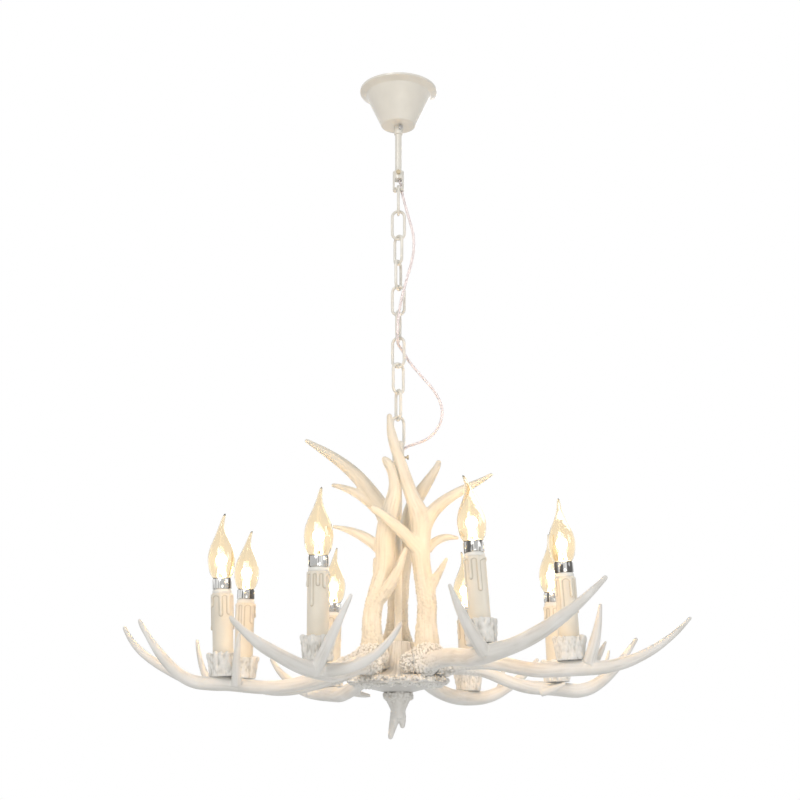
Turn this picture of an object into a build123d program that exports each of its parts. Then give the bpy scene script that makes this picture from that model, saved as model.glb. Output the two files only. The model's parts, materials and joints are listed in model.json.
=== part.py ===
"""Antler chandelier: eight antler arms with candles and four upright antlers round a centre pipe,
hung by a ten-link chain and a short stem from a cup-shaped ceiling canopy.

Millimetres, +Z up. The origin is where the stem's axis meets the ceiling, so the lamp lies below it.
-Y faces the viewer and +X is to the viewer's right. Azimuths are measured from the viewer's side,
positive to the right. Antler stations are (x, y, z, thickness) along the middle of a beam or tine.
"""
from build123d import *
from math import cos, pi, radians, sin, tan
import os

os.makedirs("parts", exist_ok=True)

# ---------------------------------------------------------------- fits
THREAD_FIT = 0.05        # radial, threaded and pressed pieces
SLIDE_FIT = 0.15         # radial, pieces that slide or turn on each other
POUR_FIT = 0.1           # round the roots that sit in the hub casting

# ---------------------------------------------------------------- ceiling end
BRACKET_LENGTH = 96.0
BRACKET_WIDTH = 20.0
BRACKET_THICK = 2.5
BRACKET_CORNER = 4.0
SLOT_SPACING = 70.0
SLOT_LENGTH = 12.0
SLOT_WIDTH = 4.5
CANOPY_RADIUS = 56.0     # rim on the ceiling
CANOPY_RIM = 3.0
CANOPY_SHOULDER = 47.0   # radius under the rim
CANOPY_SHOULDER_DROP = 8.0
CANOPY_FOOT = 24.5       # radius of the flat bottom
CANOPY_DEPTH = 57.0
CANOPY_WALL = 1.0
CANOPY_SOFTENING = 3.0   # fillet at the foot
COLLAR_RADIUS = 6.2
COLLAR_HEIGHT = 13.5
COLLAR_CHAMFER = 0.6
COLLAR_SCREW_DROP = 4.5  # below the canopy's foot
COLLAR_SCREW_AZIMUTH = 24.0
STEM_RADIUS = 4.8
STEM_BORE = 3.6
STEM_TOP_GAP = 0.5       # under the ceiling
STEM_LENGTH = 139.0

# ---------------------------------------------------------------- loops at both ends of the chain
LOOP_RADIUS = 8.25
LOOP_CHAMFER = 1.0
LOOP_SOCKET = 10.8       # takes the stem or the pipe
LOOP_SHOULDER = 2.0      # web between socket and window
WINDOW_WIDTH = 10.2
WINDOW_HEIGHT = 13.1
BAR_THICK = 4.8          # round bar that carries the chain
BAR_FREE = 2.6           # half length of the round part
BAR_DEPTH = 8.8          # of the blocks beside it
CORD_HOLE = 2.2          # radius of the wire holes
CORD_HOLE_SHIFT = 1.6    # of the hole in the web, off the axis
BAR_HOLE_SHIFT = 5.2     # of the hole beside the upper bar
SCREW_SHANK = 1.5
SCREW_HEAD = 3.2
SCREW_HEAD_THICK = 2.4
SCREW_STANDOFF = 0.3     # head to the curved wall
UPPER_SCREW_DROP = 4.4   # below the loop's rim
THUMB_SCREW_REACH = 3.6  # head of the lower loop's screw, off the wall
THUMB_SCREW_RISE = 9.0   # above the loop's lower rim

# ---------------------------------------------------------------- chain
LINK_WIRE = 4.2
LINK_INNER_LENGTH = 38.2
LINK_INNER_WIDTH = 13.1
LINK_PLAY = 0.3          # between the wires of neighbours, and of a loop
LINK_YAW = [90.0, 0.0, -55.0, 66.0, -14.0, 74.0, -22.0, 36.0, -68.0, 28.0]

# ---------------------------------------------------------------- pipe and hub
PIPE_RADIUS = 5.2
PIPE_BORE = 3.6
PIPE_LENGTH = 324.5
PIPE_BELOW_HUB = 44.0    # pipe end under the level of the arm roots
CORE_RADIUS = 17.0
CORE_TOP = 6.9
CORE_FOOT = 17.0
CORE_CHAMFER = 1.0
CASTING_RIM = 66.0
CASTING_RIM_THICK = 3.0
CASTING_FOOT = 22.0      # under the arm roots
# flared skirt of the casting: (radius, height over the arm roots)
SKIRT = [(15.0, 31.0), (16.5, 21.0), (21.0, 3.0), (30.0, -7.0), (46.0, -13.0), (62.0, -16.0)]
COVER_RADIUS = 64.0
COVER_SEAT = 6.0         # width of the flat ring on the casting
COVER_FLAT = 20.0
COVER_DROP = 9.5
COVER_THICK = 2.5
ROOT_RADIUS = 8.0
ROOT_START = 26.0        # distance of the root's end from the axis
ROOT_LENGTH = 28.0
STUD_RADIUS = 3.0
STUD_START = 8.5
STUD_IN_ROOT = 16.0
BURR_RADIUS = 15.5
BURR_PLACE = 57.0
BURR_LENGTH = 25.0
BURR_RECESS_FIT = 0.5
BURR_END = 0.7           # share of its radius at its two ends
FINIAL_KNOB = 19.5
FINIAL_KNOB_HEIGHT = 10.0
FINIAL_NECK = 9.3
FINIAL_NECK_DROP = 25.0
FINIAL_LENGTH = 34.0     # of the turned part

# ---------------------------------------------------------------- candles
CANDLE_REACH = 234.0
CANDLE_AZIMUTH = {1: -67.5, 2: -112.5, 3: -22.5, 4: -155.5, 5: 22.5, 6: 155.5, 7: 67.5, 8: 112.5}
CANDLE_RISE = {1: -19.0, 2: -12.0, 3: -8.0, 4: -18.0, 5: 11.0, 6: -24.0, 7: 1.0, 8: -17.0}
CANDLE_SIDE = {1: -1.0, 2: -5.0, 3: -3.0, 4: 2.0, 5: 8.0, 6: -6.0, 7: -4.0, 8: -3.0}
CANDLE_LEAN = {1: -3.0, 2: 0.5, 3: -0.5, 4: 1.0, 5: -3.6, 6: -1.5, 7: -2.8, 8: -1.3}
CANDLE_TIP_BACK = {1: 0.0, 2: 0.0, 3: 0.0, 4: 0.0, 5: 5.0, 6: 0.0, 7: 0.0, 8: 0.0}
FLAME_TURN = {1: 15.0, 2: 25.0, 3: 60.0, 4: 60.0, 5: 170.0, 6: 120.0, 7: 80.0, 8: 100.0}
CUP_FOOT = 17.5
CUP_LIP = 20.0
CUP_WAIST = 18.6
CUP_HEIGHT = 28.0
CUP_FLOOR = 16.0
SLEEVE_RADIUS = 13.0
SLEEVE_WALL = 1.5
SLEEVE_ABOVE_CUP = 74.5
HOLDER_RADIUS = 11.2
HOLDER_STEM = 6.5
HOLDER_BODY = 42.0
HOLDER_RING = 12.25
HOLDER_RING_HEIGHT = 5.5
HOLDER_BORE_DEPTH = 28.0
CAP_RADIUS = 6.9
CAP_LENGTH = 24.0
COLLAR_BULB_RADIUS = 12.25
COLLAR_BULB_HEIGHT = 13.0
BULB_PLAY = 0.3
GLASS_WALL = 0.9
# flame bulb: (radius, height over the collar)
FLAME = [(10.4, 0.0), (15.2, 9.0), (17.5, 25.0), (15.6, 40.0), (10.2, 54.0), (4.8, 66.0)]
FLAME_TIP = [(0.0, 0.0, 62.0, 10.5), (2.0, 0.0, 73.0, 5.6), (6.0, 0.0, 83.0, 2.4)]
FILAMENT_STEM = 3.2
FILAMENT_HEIGHT = 38.0
NIPPLE_RADIUS = 4.0
NIPPLE_IN_ARM = 13.0
NIPPLE_IN_HOLDER = 10.0
SEAT_CLEARANCE = 0.5     # arm to cup, all round
SEAT_CUT_HEIGHT = 70.0

# ---------------------------------------------------------------- upright antlers
UPRIGHT_SEAT = 13.0      # flat tops of the burrs over the arm roots
UPRIGHT_SEAT_REACH = 75.0
UPRIGHT_FLATTEN = 0.78
DOWEL_RADIUS = 2.5
DOWEL_REACH = 54.0
DOWEL_IN_BURR = 11.0
DOWEL_IN_UPRIGHT = 14.0

# ---------------------------------------------------------------- cord
CORD_RADIUS = 2.0

# ---------------------------------------------------------------- antler tines and arms
ARM_FLATTEN = 0.92
SECTION_PITCH = 17.0
TIP_DOME = 0.97

# Heights that follow from the sizes above.
LOOP_HEIGHT = LOOP_SOCKET + LOOP_SHOULDER + WINDOW_HEIGHT + BAR_THICK
STEM_BOTTOM = -STEM_TOP_GAP - STEM_LENGTH
UPPER_LOOP_TOP = STEM_BOTTOM + LOOP_SOCKET
UPPER_BAR_TOP = STEM_BOTTOM - LOOP_SHOULDER - WINDOW_HEIGHT
LINK_PITCH = LINK_INNER_LENGTH - LINK_PLAY
FIRST_LINK_TOP = UPPER_BAR_TOP + LINK_PLAY / 2
LAST_LINK_FLOOR = FIRST_LINK_TOP - LINK_PITCH * (len(LINK_YAW) - 1) - LINK_INNER_LENGTH
LOWER_BAR_FLOOR = LAST_LINK_FLOOR + LINK_PLAY
LOWER_LOOP_TOP = LOWER_BAR_FLOOR + BAR_THICK
LOWER_LOOP_YAW = LINK_YAW[-1] + 90.0
LOWER_LOOP_END = LOWER_LOOP_TOP - LOOP_HEIGHT
PIPE_TOP = LOWER_BAR_FLOOR - WINDOW_HEIGHT - LOOP_SHOULDER
HUB_Z = PIPE_TOP - PIPE_LENGTH + PIPE_BELOW_HUB
SLEEVE_TOP = CUP_HEIGHT + SLEEVE_ABOVE_CUP
HOLDER_TOP = SLEEVE_TOP + HOLDER_RING_HEIGHT
BULB_FOOT = HOLDER_TOP + BULB_PLAY

# Arm roots, by their azimuth at the hub.
ROOT_AZIMUTH = {1: -78.0, 2: -118.0, 3: -38.0, 4: -158.0, 5: 38.0, 6: 158.0, 7: 78.0, 8: 118.0}

# Beam of each arm between its burr and its candle: (outward, sideways, over the roots, thickness).
ARM_INNER = {
    1: [(66, -11, 0, 25), (133, -6, -25, 17), (191, 2, -31, 17)],
    2: [(66, -7, 0, 25), (120, -6, -20, 17), (180, -3, -28, 17)],
    3: [(64, -17, 0, 25), (127, -18, -12, 21), (190, -8, -19, 21)],
    4: [(68, -3, 0, 24), (122, 3, -17, 20), (180, 7, -31, 21)],
    5: [(64, 17, 1, 25), (128, 22, 4, 22), (190, 14, -1, 22)],
    6: [(68, 3, 0, 24), (114, 8, -17, 20), (172, 0, -32, 21)],
    7: [(66, 11, 0, 25), (137, 8, 0, 19), (195, -2, -10, 19)],
    8: [(66, 6, 0, 25), (125, -2, -6, 15), (190, 1, -24, 18)],
}
# Sideways place and thickness of the beam under the candle.
ARM_SEAT = {
    1: (1, 18), 2: (-5, 18), 3: (-1, 22), 4: (7, 22),
    5: (9, 24), 6: (-9, 22), 7: (-4, 21), 8: (-3, 20),
}
# Beam beyond the candle: (beyond the candle, sideways, over the cup's foot, thickness).
ARM_OUTER = {
    1: [(40, 1, -6, 16), (75, -3, 20, 13), (106, -11, 66, 5)],
    2: [(45, 20, -8, 15), (86, 46, 10, 13), (117, 68, 34, 11), (134, 87, 66, 6)],
    3: [(32, -3, -9, 18), (72, -12, 1, 16), (101, -22, 12, 14), (132, -44, 40, 5)],
    4: [(37, 25, -6, 17), (58, 48, 12, 13), (73, 69, 42, 6)],
    5: [(46, 21, -5, 19), (85, 36, 8, 18), (112, 49, 22, 15), (149, 86, 64, 6)],
    6: [(22, -26, -8, 19), (42, -52, 7, 16), (54, -76, 27, 11), (60, -92, 46, 6)],
    7: [(38, -7, -10, 17), (68, -2, -4, 15), (97, 6, 9, 12), (144, 26, 49, 5)],
    8: [(34, -10, -11, 19), (69, -17, 7, 16), (96, -20, 33, 11), (118, -21, 60, 6)],
}
# Tines of each arm, counted like the beam beyond the candle.
ARM_TINES = {
    1: [[(-14, 10, -9, 14), (-8, 27, 18, 10), (-7, 40, 50, 5)]],
    2: [[(43, 10, -6, 13), (60, 4, 18, 9), (71, 1, 53, 5)]],
    3: [[(17, 4, -9, 16), (36, 33, 28, 12), (37, 55, 69, 5)],
        [(-2, 6, -10, 16), (-5, 60, 2, 12), (-12, 95, 40, 6)]],
    4: [[(-78, 2, -8, 14), (-96, -6, -14, 9), (-108, -13, -16, 5)],
        [(24, 24, -8, 14), (46, 22, 12, 10), (54, 16, 38, 5)]],
    5: [[(17, 2, -9, 18), (36, -34, 31, 12), (43, -52, 61, 5)]],
    6: [[(34, -40, 0, 13), (52, -40, 22, 9), (60, -38, 46, 4)]],
    7: [[(24, -10, -4, 17), (36, -15, 30, 12), (43, -17, 65, 5)],
        [(26, 2, -6, 11), (34, 9, 9, 8), (40, 14, 22, 4)]],
    8: [[(62, -9, 0, 12), (75, -5, 20, 8), (85, -2, 44, 4)],
        [(-26, -5, -14, 13), (-14, -17, -10, 10), (-1, -25, -3, 5)]],
}

# Upright antlers: (x, y, height over the arm roots, thickness); the first limb is the trunk.
UPRIGHTS = {
    1: [[(38, -37, 8, 36), (37, -34, 31, 31), (37, -32, 61, 25), (37, -32, 82, 25), (34, -31, 103, 25),
         (31, -31, 124, 24), (29, -30, 150, 26), (29, -30, 187, 29), (19, -27, 218, 19), (6, -26, 257, 16),
         (-7, -26, 297, 14), (-12, -26, 330, 8)],
        [(34, -30, 178, 22), (56, -34, 208, 17), (88, -42, 227, 12), (123, -48, 245, 5)],
        [(38, -25, 148, 14), (60, -14, 166, 11), (79, -6, 167, 5)],
        [(37, -32, 90, 17), (52, -36, 115, 11), (63, -40, 134, 5)],
        [(26, -34, 148, 19), (0, -48, 174, 16), (-32, -58, 198, 9)]],
    2: [[(-34, -37, 8, 34), (-34, -34, 41, 26), (-34, -32, 61, 24), (-30, -30, 82, 23), (-24, -29, 103, 24),
         (-18, -28, 124, 26), (-17, -27, 161, 27), (-11, -26, 199, 25), (-6, -26, 219, 20),
         (-5, -27, 238, 15),
         (-10, -28, 257, 13), (-18, -28, 270, 9)],
        [(-22, -22, 148, 18), (-52, -12, 171, 13), (-86, -8, 182, 5)],
        [(-25, -22, 108, 14), (-29, -17, 124, 10), (-31, -13, 138, 5)],
        [(-28, -32, 80, 19), (-6, -44, 108, 15), (9, -50, 145, 7)]],
    3: [[(-18, 47, 8, 30), (-13, 34, 26, 23), (-8, 24, 45, 20), (-5, 21, 89, 19), (-8, 20, 140, 21),
         (-17, 23, 200, 25), (-33, 28, 228, 23), (-60, 34, 262, 19), (-95, 42, 291, 14), (-129, 48, 313, 6)],
        [(-28, 26, 212, 18), (-60, 30, 236, 12), (-90, 36, 247, 6)]],
    4: [[(18, 48, 8, 30), (12, 46, 26, 23), (6, 44, 45, 19), (4, 38, 89, 19), (6, 36, 120, 20),
         (12, 35, 170, 21), (19, 34, 215, 21), (33, 34, 240, 18), (45, 33, 258, 14), (56, 36, 279, 8)]],
}
# The arm whose burr holds each upright's dowel.
UPRIGHT_ARM = {1: 5, 2: 3, 3: 4, 4: 6}

# Finial prongs under the hub: (x, y, height over the arm roots, thickness).
FINIAL_PRONGS = [
    [(-1, 0, -58, 17), (-6, 0, -74, 11), (-10, 0, -91, 6)],
    [(2, 0, -58, 15), (5, 0, -69, 10), (5.5, 0, -77, 6)],
]

# Free run of the cord, from the stem's loop to the pipe's loop.
CORD_ROUTE = [
    (8.4, -3.0, -176.0), (11.5, -5.6, -190.0), (16.2, -7.5, -208.0),
    (21.4, -10.0, -228.0), (22.2, -12.5, -250.0), (20.0, -13.2, -268.0), (13.5, -13.0, -291.0),
    (7.0, -12.8, -315.0), (2.2, -12.6, -337.0), (-0.6, -13.0, -359.0), (-1.2, -13.2, -380.5),
    (-1.2, -6.0, -388.7), (1.2, 3.2, -390.8), (6.2, 8.0, -396.8), (12.6, 8.6, -408.0),
    (23.5, 6.2, -423.5), (37.0, 2.6, -440.0), (50.2, 0.0, -456.8), (59.4, -2.0, -475.5),
    (60.8, -3.0, -493.0), (54.5, -2.4, -511.0), (43.0, 1.5, -522.6), (29.5, 6.4, -528.2),
    (19.6, 8.6, -530.6), (12.4, 6.6, -533.8), (6.5, 3.45, -538.6),
]


# ---------------------------------------------------------------- helpers
def thickness_at(share, shares, thicknesses):
    """Thickness at a share of a limb's length, in line between its stations."""
    for place in range(len(shares) - 1):
        if share <= shares[place + 1] + 1e-9:
            part = (share - shares[place]) / (shares[place + 1] - shares[place])
            return thicknesses[place] + (thicknesses[place + 1] - thicknesses[place]) * part
    return thicknesses[-1]


def limb(stations, flatten, thin_axis=None):
    """A beam or tine: oval sections along a smooth line through the stations, with a domed tip."""
    points = [Vector(*station[:3]) for station in stations]
    thicknesses = [station[3] for station in stations]
    reach = [0.0]
    for start, end in zip(points, points[1:]):
        reach.append(reach[-1] + (end - start).length)
    shares = [run / reach[-1] for run in reach]
    path = Spline(*points)
    thin = thin_axis or (points[1] - points[0]).cross(points[-1] - points[0]).normalized()
    count = max(4, round(reach[-1] / SECTION_PITCH))
    sections = []
    for step in range(count + 1):
        share = step / count
        along = path % share
        across = (thin - along * thin.dot(along)).cross(along)
        half = thickness_at(share, shares, thicknesses) / 2
        squeeze = flatten + (1 - flatten) * share
        sections.append(Plane(origin=path @ share, x_dir=across, z_dir=along) * Ellipse(half, half * squeeze))
    tip = Pos(*(path @ 1)) * Sphere(thicknesses[-1] / 2 * TIP_DOME)
    return [loft(sections), tip]


def rod(radius, start, end):
    """A cylinder along +Z between two heights."""
    return Pos(0, 0, start) * Cylinder(radius, end - start, align=(Align.CENTER, Align.CENTER, Align.MIN))


def turned(*outline):
    """A solid of revolution about Z from (radius, height) points and edges."""
    return revolve(Plane.XZ * make_face(Polyline(*outline, close=True)), Axis.Z)


def radial(azimuth, height):
    """Frame whose Z axis runs outward from the lamp's axis at an azimuth and a height."""
    return Pos(0, 0, height) * Rot(0, 0, azimuth - 90) * Rot(0, 90, 0)


def arm_frame(number):
    """Frame of an arm: X outward to its candle, Y sideways, Z up, from the hub."""
    return Pos(0, 0, HUB_Z) * Rot(0, 0, CANDLE_AZIMUTH[number] - 90)


def candle_frame(number):
    """Frame of a candle: origin in the middle of its cup's foot, Z along the candle."""
    seat = arm_frame(number) * Pos(CANDLE_REACH, CANDLE_SIDE[number], CANDLE_RISE[number])
    return Pos(*seat.position) * Rot(-CANDLE_TIP_BACK[number], CANDLE_LEAN[number], 0)


def save(shape, node):
    """Write one node."""
    export_step(shape, "parts/" + node + ".step")


def group(shapes):
    """Separate solids in one node."""
    return Compound(children=list(shapes))


# ---------------------------------------------------------------- ceiling end
def ceiling_bracket():
    strip = Pos(0, 0, -BRACKET_THICK / 2) * Box(BRACKET_LENGTH, BRACKET_WIDTH, BRACKET_THICK)
    strip = fillet(strip.edges().filter_by(Axis.Z), BRACKET_CORNER)
    slot = extrude(SlotOverall(SLOT_LENGTH, SLOT_WIDTH), BRACKET_THICK, both=True)
    for side in (-1, 1):
        strip -= Pos(side * SLOT_SPACING / 2, 0, -BRACKET_THICK / 2) * slot
    return strip - rod(STEM_RADIUS + THREAD_FIT, -2 * BRACKET_THICK, BRACKET_THICK)


def stem_tube():
    return rod(STEM_RADIUS, STEM_BOTTOM, -STEM_TOP_GAP) - rod(STEM_BORE, STEM_BOTTOM - 1, 0)


def canopy_blank(inset):
    """The cup's outline, drawn in by a wall thickness."""
    foot_floor = -CANOPY_DEPTH + inset
    return turned(
        (0, 0),
        (CANOPY_RADIUS - inset, 0),
        (CANOPY_RADIUS - inset, -CANOPY_RIM + inset / 2),
        (CANOPY_SHOULDER - inset, -CANOPY_SHOULDER_DROP + inset / 2),
        (CANOPY_FOOT - inset, foot_floor),
        (0, foot_floor),
    )


def canopy_cup():
    outer = canopy_blank(0)
    foot = outer.edges().filter_by(GeomType.CIRCLE).sort_by(Axis.Z)[0]
    shoulder = outer.edges().filter_by(GeomType.CIRCLE).sort_by(Axis.Z)[1]
    outer = fillet([foot, shoulder], CANOPY_SOFTENING)
    inner = canopy_blank(CANOPY_WALL)
    foot = inner.edges().filter_by(GeomType.CIRCLE).sort_by(Axis.Z)[0]
    inner = fillet(foot, CANOPY_SOFTENING - CANOPY_WALL)
    return outer - inner - rod(STEM_RADIUS + SLIDE_FIT, -CANOPY_DEPTH - 1, 0)


def set_screw(azimuth, height, inner, wall, standoff):
    """A radial screw: its tip on a tube, its head off the wall."""
    frame = radial(azimuth, height)
    shank = rod(SCREW_SHANK, inner + THREAD_FIT, wall + standoff)
    head = rod(SCREW_HEAD, wall + standoff, wall + standoff + SCREW_HEAD_THICK)
    return frame * shank.fuse(head)


def screw_hole(azimuth, height, wall):
    return radial(azimuth, height) * rod(SCREW_SHANK + THREAD_FIT, 0, wall + 5)


def canopy_collar():
    floor = -CANOPY_DEPTH - COLLAR_HEIGHT
    collar = rod(COLLAR_RADIUS, floor, -CANOPY_DEPTH)
    collar = chamfer(collar.edges().group_by(Axis.Z)[0], COLLAR_CHAMFER)
    collar -= rod(STEM_RADIUS + SLIDE_FIT, floor - 1, 0)
    return collar - screw_hole(COLLAR_SCREW_AZIMUTH, -CANOPY_DEPTH - COLLAR_SCREW_DROP, COLLAR_RADIUS)


# ---------------------------------------------------------------- loops
def chain_loop(tube, web_hole, bar_hole):
    """A loop, socket upward from z = 0: window through Y, bar along X at its foot."""
    window_top = -LOOP_SOCKET - LOOP_SHOULDER
    bar_middle = window_top - WINDOW_HEIGHT - BAR_THICK / 2
    through = 4 * LOOP_RADIUS
    body = rod(LOOP_RADIUS, -LOOP_HEIGHT, 0)
    body = chamfer(body.edges().filter_by(GeomType.CIRCLE), LOOP_CHAMFER)
    body -= rod(tube + THREAD_FIT, -LOOP_SOCKET, 1)
    window_middle = window_top - WINDOW_HEIGHT / 2
    body -= Pos(0, 0, window_middle) * Box(WINDOW_WIDTH, through, WINDOW_HEIGHT)
    flank = Box(WINDOW_WIDTH, through, BAR_THICK + 1)
    for side in (-1, 1):
        body -= Pos(0, side * (BAR_DEPTH / 2 + through / 2), bar_middle - 0.5) * flank
    body -= Pos(0, 0, bar_middle - 0.5) * Box(2 * BAR_FREE, through, BAR_THICK + 1)
    bar = Rot(0, 90, 0) * Cylinder(BAR_THICK / 2, 2 * BAR_FREE + 1)
    body = body.fuse(Pos(0, 0, bar_middle) * bar)
    body -= Pos(*web_hole) * rod(CORD_HOLE, window_top - 0.5, -LOOP_SOCKET + 0.5)
    if bar_hole:
        body -= Pos(BAR_HOLE_SHIFT, 0) * rod(CORD_HOLE, -LOOP_HEIGHT - 1, window_top)
    return body


def upper_loop():
    loop = Pos(0, 0, UPPER_LOOP_TOP) * chain_loop(STEM_RADIUS, (CORD_HOLE_SHIFT, 0), True)
    return loop - screw_hole(0, UPPER_LOOP_TOP - UPPER_SCREW_DROP, LOOP_RADIUS)


def lower_loop():
    loop = Rot(180, 0, 0) * chain_loop(PIPE_RADIUS, (0, CORD_HOLE_SHIFT), False)
    loop = Pos(0, 0, LOWER_LOOP_END) * Rot(0, 0, LOWER_LOOP_YAW) * loop
    return loop - screw_hole(90, LOWER_LOOP_END + THUMB_SCREW_RISE, LOOP_RADIUS)


def centre_pipe():
    foot = PIPE_TOP - PIPE_LENGTH
    return rod(PIPE_RADIUS, foot, PIPE_TOP) - rod(PIPE_BORE, foot - 1, 0)


def chain_link(number):
    """Link by its order from the top, hanging in its own plane."""
    outline = SlotOverall(LINK_INNER_LENGTH + LINK_WIRE, LINK_INNER_WIDTH + LINK_WIRE, rotation=90)
    path = (Plane.XZ * outline).wire()
    section = Plane(origin=path @ 0, z_dir=path % 0) * Circle(LINK_WIRE / 2)
    middle = FIRST_LINK_TOP - LINK_PITCH * number - LINK_INNER_LENGTH / 2
    return Pos(0, 0, middle) * Rot(0, 0, LINK_YAW[number]) * sweep(section, path)


# ---------------------------------------------------------------- hub
def hub_casting():
    rim_top = -CASTING_FOOT + CASTING_RIM_THICK
    rim = [(CASTING_RIM, rim_top), (CASTING_RIM, -CASTING_FOOT), (0, -CASTING_FOOT), (0, SKIRT[0][1])]
    casting = Pos(0, 0, HUB_Z) * turned(*SKIRT, *rim)
    casting -= rod(PIPE_RADIUS + THREAD_FIT, HUB_Z - 2 * CASTING_RIM, HUB_Z + 2 * CASTING_RIM)
    casting -= rod(CORE_RADIUS + POUR_FIT, HUB_Z - CASTING_FOOT - 1, HUB_Z + CORE_TOP + POUR_FIT)
    for azimuth in ROOT_AZIMUTH.values():
        stud_hole = rod(STUD_RADIUS + THREAD_FIT, STUD_START, ROOT_START + 1)
        root_seat = rod(ROOT_RADIUS + POUR_FIT, ROOT_START - POUR_FIT, CASTING_RIM + 9)
        burr_start = BURR_PLACE - BURR_LENGTH / 2 - BURR_RECESS_FIT
        burr_recess = rod(BURR_RADIUS + BURR_RECESS_FIT, burr_start, CASTING_RIM + 5)
        casting -= radial(azimuth, HUB_Z) * stud_hole.fuse(root_seat, burr_recess)
    return casting


def hub_core():
    core = rod(CORE_RADIUS, HUB_Z - CORE_FOOT, HUB_Z + CORE_TOP)
    core = chamfer(core.edges().filter_by(GeomType.CIRCLE), CORE_CHAMFER)
    core -= rod(PIPE_RADIUS + THREAD_FIT, HUB_Z - 2 * CORE_FOOT, HUB_Z + 2 * CORE_FOOT)
    for azimuth in ROOT_AZIMUTH.values():
        core -= radial(azimuth, HUB_Z) * rod(STUD_RADIUS + THREAD_FIT, STUD_START, CORE_RADIUS + 5)
    return core


def arm_studs():
    stud = rod(STUD_RADIUS, STUD_START, ROOT_START + STUD_IN_ROOT)
    return group(radial(azimuth, HUB_Z) * stud for azimuth in ROOT_AZIMUTH.values())


def hub_cover():
    top = -CASTING_FOOT
    low = top - COVER_DROP
    plate = turned(
        (PIPE_RADIUS + SLIDE_FIT, low),
        (COVER_FLAT, low),
        (COVER_RADIUS - COVER_SEAT, top),
        (COVER_RADIUS, top),
        (COVER_RADIUS, top - COVER_THICK),
        (COVER_RADIUS - COVER_SEAT, top - COVER_THICK),
        (COVER_FLAT, low - COVER_THICK),
        (PIPE_RADIUS + SLIDE_FIT, low - COVER_THICK),
    )
    return Pos(0, 0, HUB_Z) * plate


def finial():
    top = -CASTING_FOOT - COVER_DROP - COVER_THICK
    knob = turned(
        (0, top),
        (FINIAL_KNOB - 1.5, top),
        (FINIAL_KNOB, top - 2),
        (FINIAL_KNOB, top - FINIAL_KNOB_HEIGHT + 2),
        (FINIAL_KNOB - 3, top - FINIAL_KNOB_HEIGHT),
        (FINIAL_NECK + 3, top - FINIAL_KNOB_HEIGHT - 6),
        (FINIAL_NECK, top - FINIAL_NECK_DROP),
        (FINIAL_NECK - 1, top - FINIAL_LENGTH),
        (0, top - FINIAL_LENGTH),
    )
    prongs = []
    for prong in FINIAL_PRONGS:
        prongs += limb(prong, ARM_FLATTEN)
    body = Pos(0, 0, HUB_Z) * knob.fuse(*prongs)
    return body - rod(PIPE_RADIUS + THREAD_FIT, HUB_Z - PIPE_BELOW_HUB, HUB_Z)


# ---------------------------------------------------------------- antlers
def burr():
    """The knobbed crown at an antler's root, as a turned bulge along Z."""
    start = BURR_PLACE - BURR_LENGTH / 2
    end = BURR_PLACE + BURR_LENGTH / 2
    crown = Spline(
        (BURR_RADIUS * BURR_END, start),
        (BURR_RADIUS * 0.97, start + BURR_LENGTH * 0.25),
        (BURR_RADIUS, BURR_PLACE),
        (BURR_RADIUS * 0.95, end - BURR_LENGTH * 0.25),
        (BURR_RADIUS * BURR_END, end),
    )
    corners = [(BURR_RADIUS * BURR_END, end), (0, end), (0, start), (BURR_RADIUS * BURR_END, start)]
    rest = Polyline(*corners)
    return revolve(Plane.XZ * make_face([crown, rest]), Axis.Z)


def arm_antler(number):
    """An arm: root and burr in the hub, beam under the candle, tines beyond it."""
    rise = CANDLE_RISE[number]
    seat_side, seat_thick = ARM_SEAT[number]
    beam = list(ARM_INNER[number])
    beam.append((CANDLE_REACH, seat_side, rise - seat_thick / 2 * ARM_FLATTEN, seat_thick))
    beam += [(CANDLE_REACH + x, y, rise + z, size) for x, y, z, size in ARM_OUTER[number]]
    pieces = limb(beam, ARM_FLATTEN)
    for tine in ARM_TINES[number]:
        pieces += limb([(CANDLE_REACH + x, y, rise + z, size) for x, y, z, size in tine], ARM_FLATTEN)
    pieces = [arm_frame(number) * piece for piece in pieces]
    outward = radial(ROOT_AZIMUTH[number], HUB_Z)
    pieces.append(outward * rod(ROOT_RADIUS, ROOT_START, ROOT_START + ROOT_LENGTH))
    pieces.append(outward * burr())
    antler = pieces[0].fuse(*pieces[1:])
    candle = candle_frame(number)
    antler -= candle * rod(CUP_LIP + SEAT_CLEARANCE, 0, SEAT_CUT_HEIGHT)
    antler -= candle * rod(NIPPLE_RADIUS + THREAD_FIT, -NIPPLE_IN_ARM, 1)
    antler -= outward * rod(STUD_RADIUS + THREAD_FIT, ROOT_START - 1, ROOT_START + STUD_IN_ROOT)
    antler -= rod(UPRIGHT_SEAT_REACH, HUB_Z + UPRIGHT_SEAT, HUB_Z + UPRIGHT_SEAT + BURR_RADIUS)
    for upright, arm in UPRIGHT_ARM.items():
        if arm == number:
            antler -= dowel(upright, THREAD_FIT)
    return antler


def dowel(upright, extra):
    """The pin between an upright and a burr, or its hole."""
    turn = radians(ROOT_AZIMUTH[UPRIGHT_ARM[upright]])
    seat = HUB_Z + UPRIGHT_SEAT
    pin = rod(DOWEL_RADIUS + extra, seat - DOWEL_IN_BURR, seat + DOWEL_IN_UPRIGHT)
    return Pos(DOWEL_REACH * sin(turn), -DOWEL_REACH * cos(turn)) * pin


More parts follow.
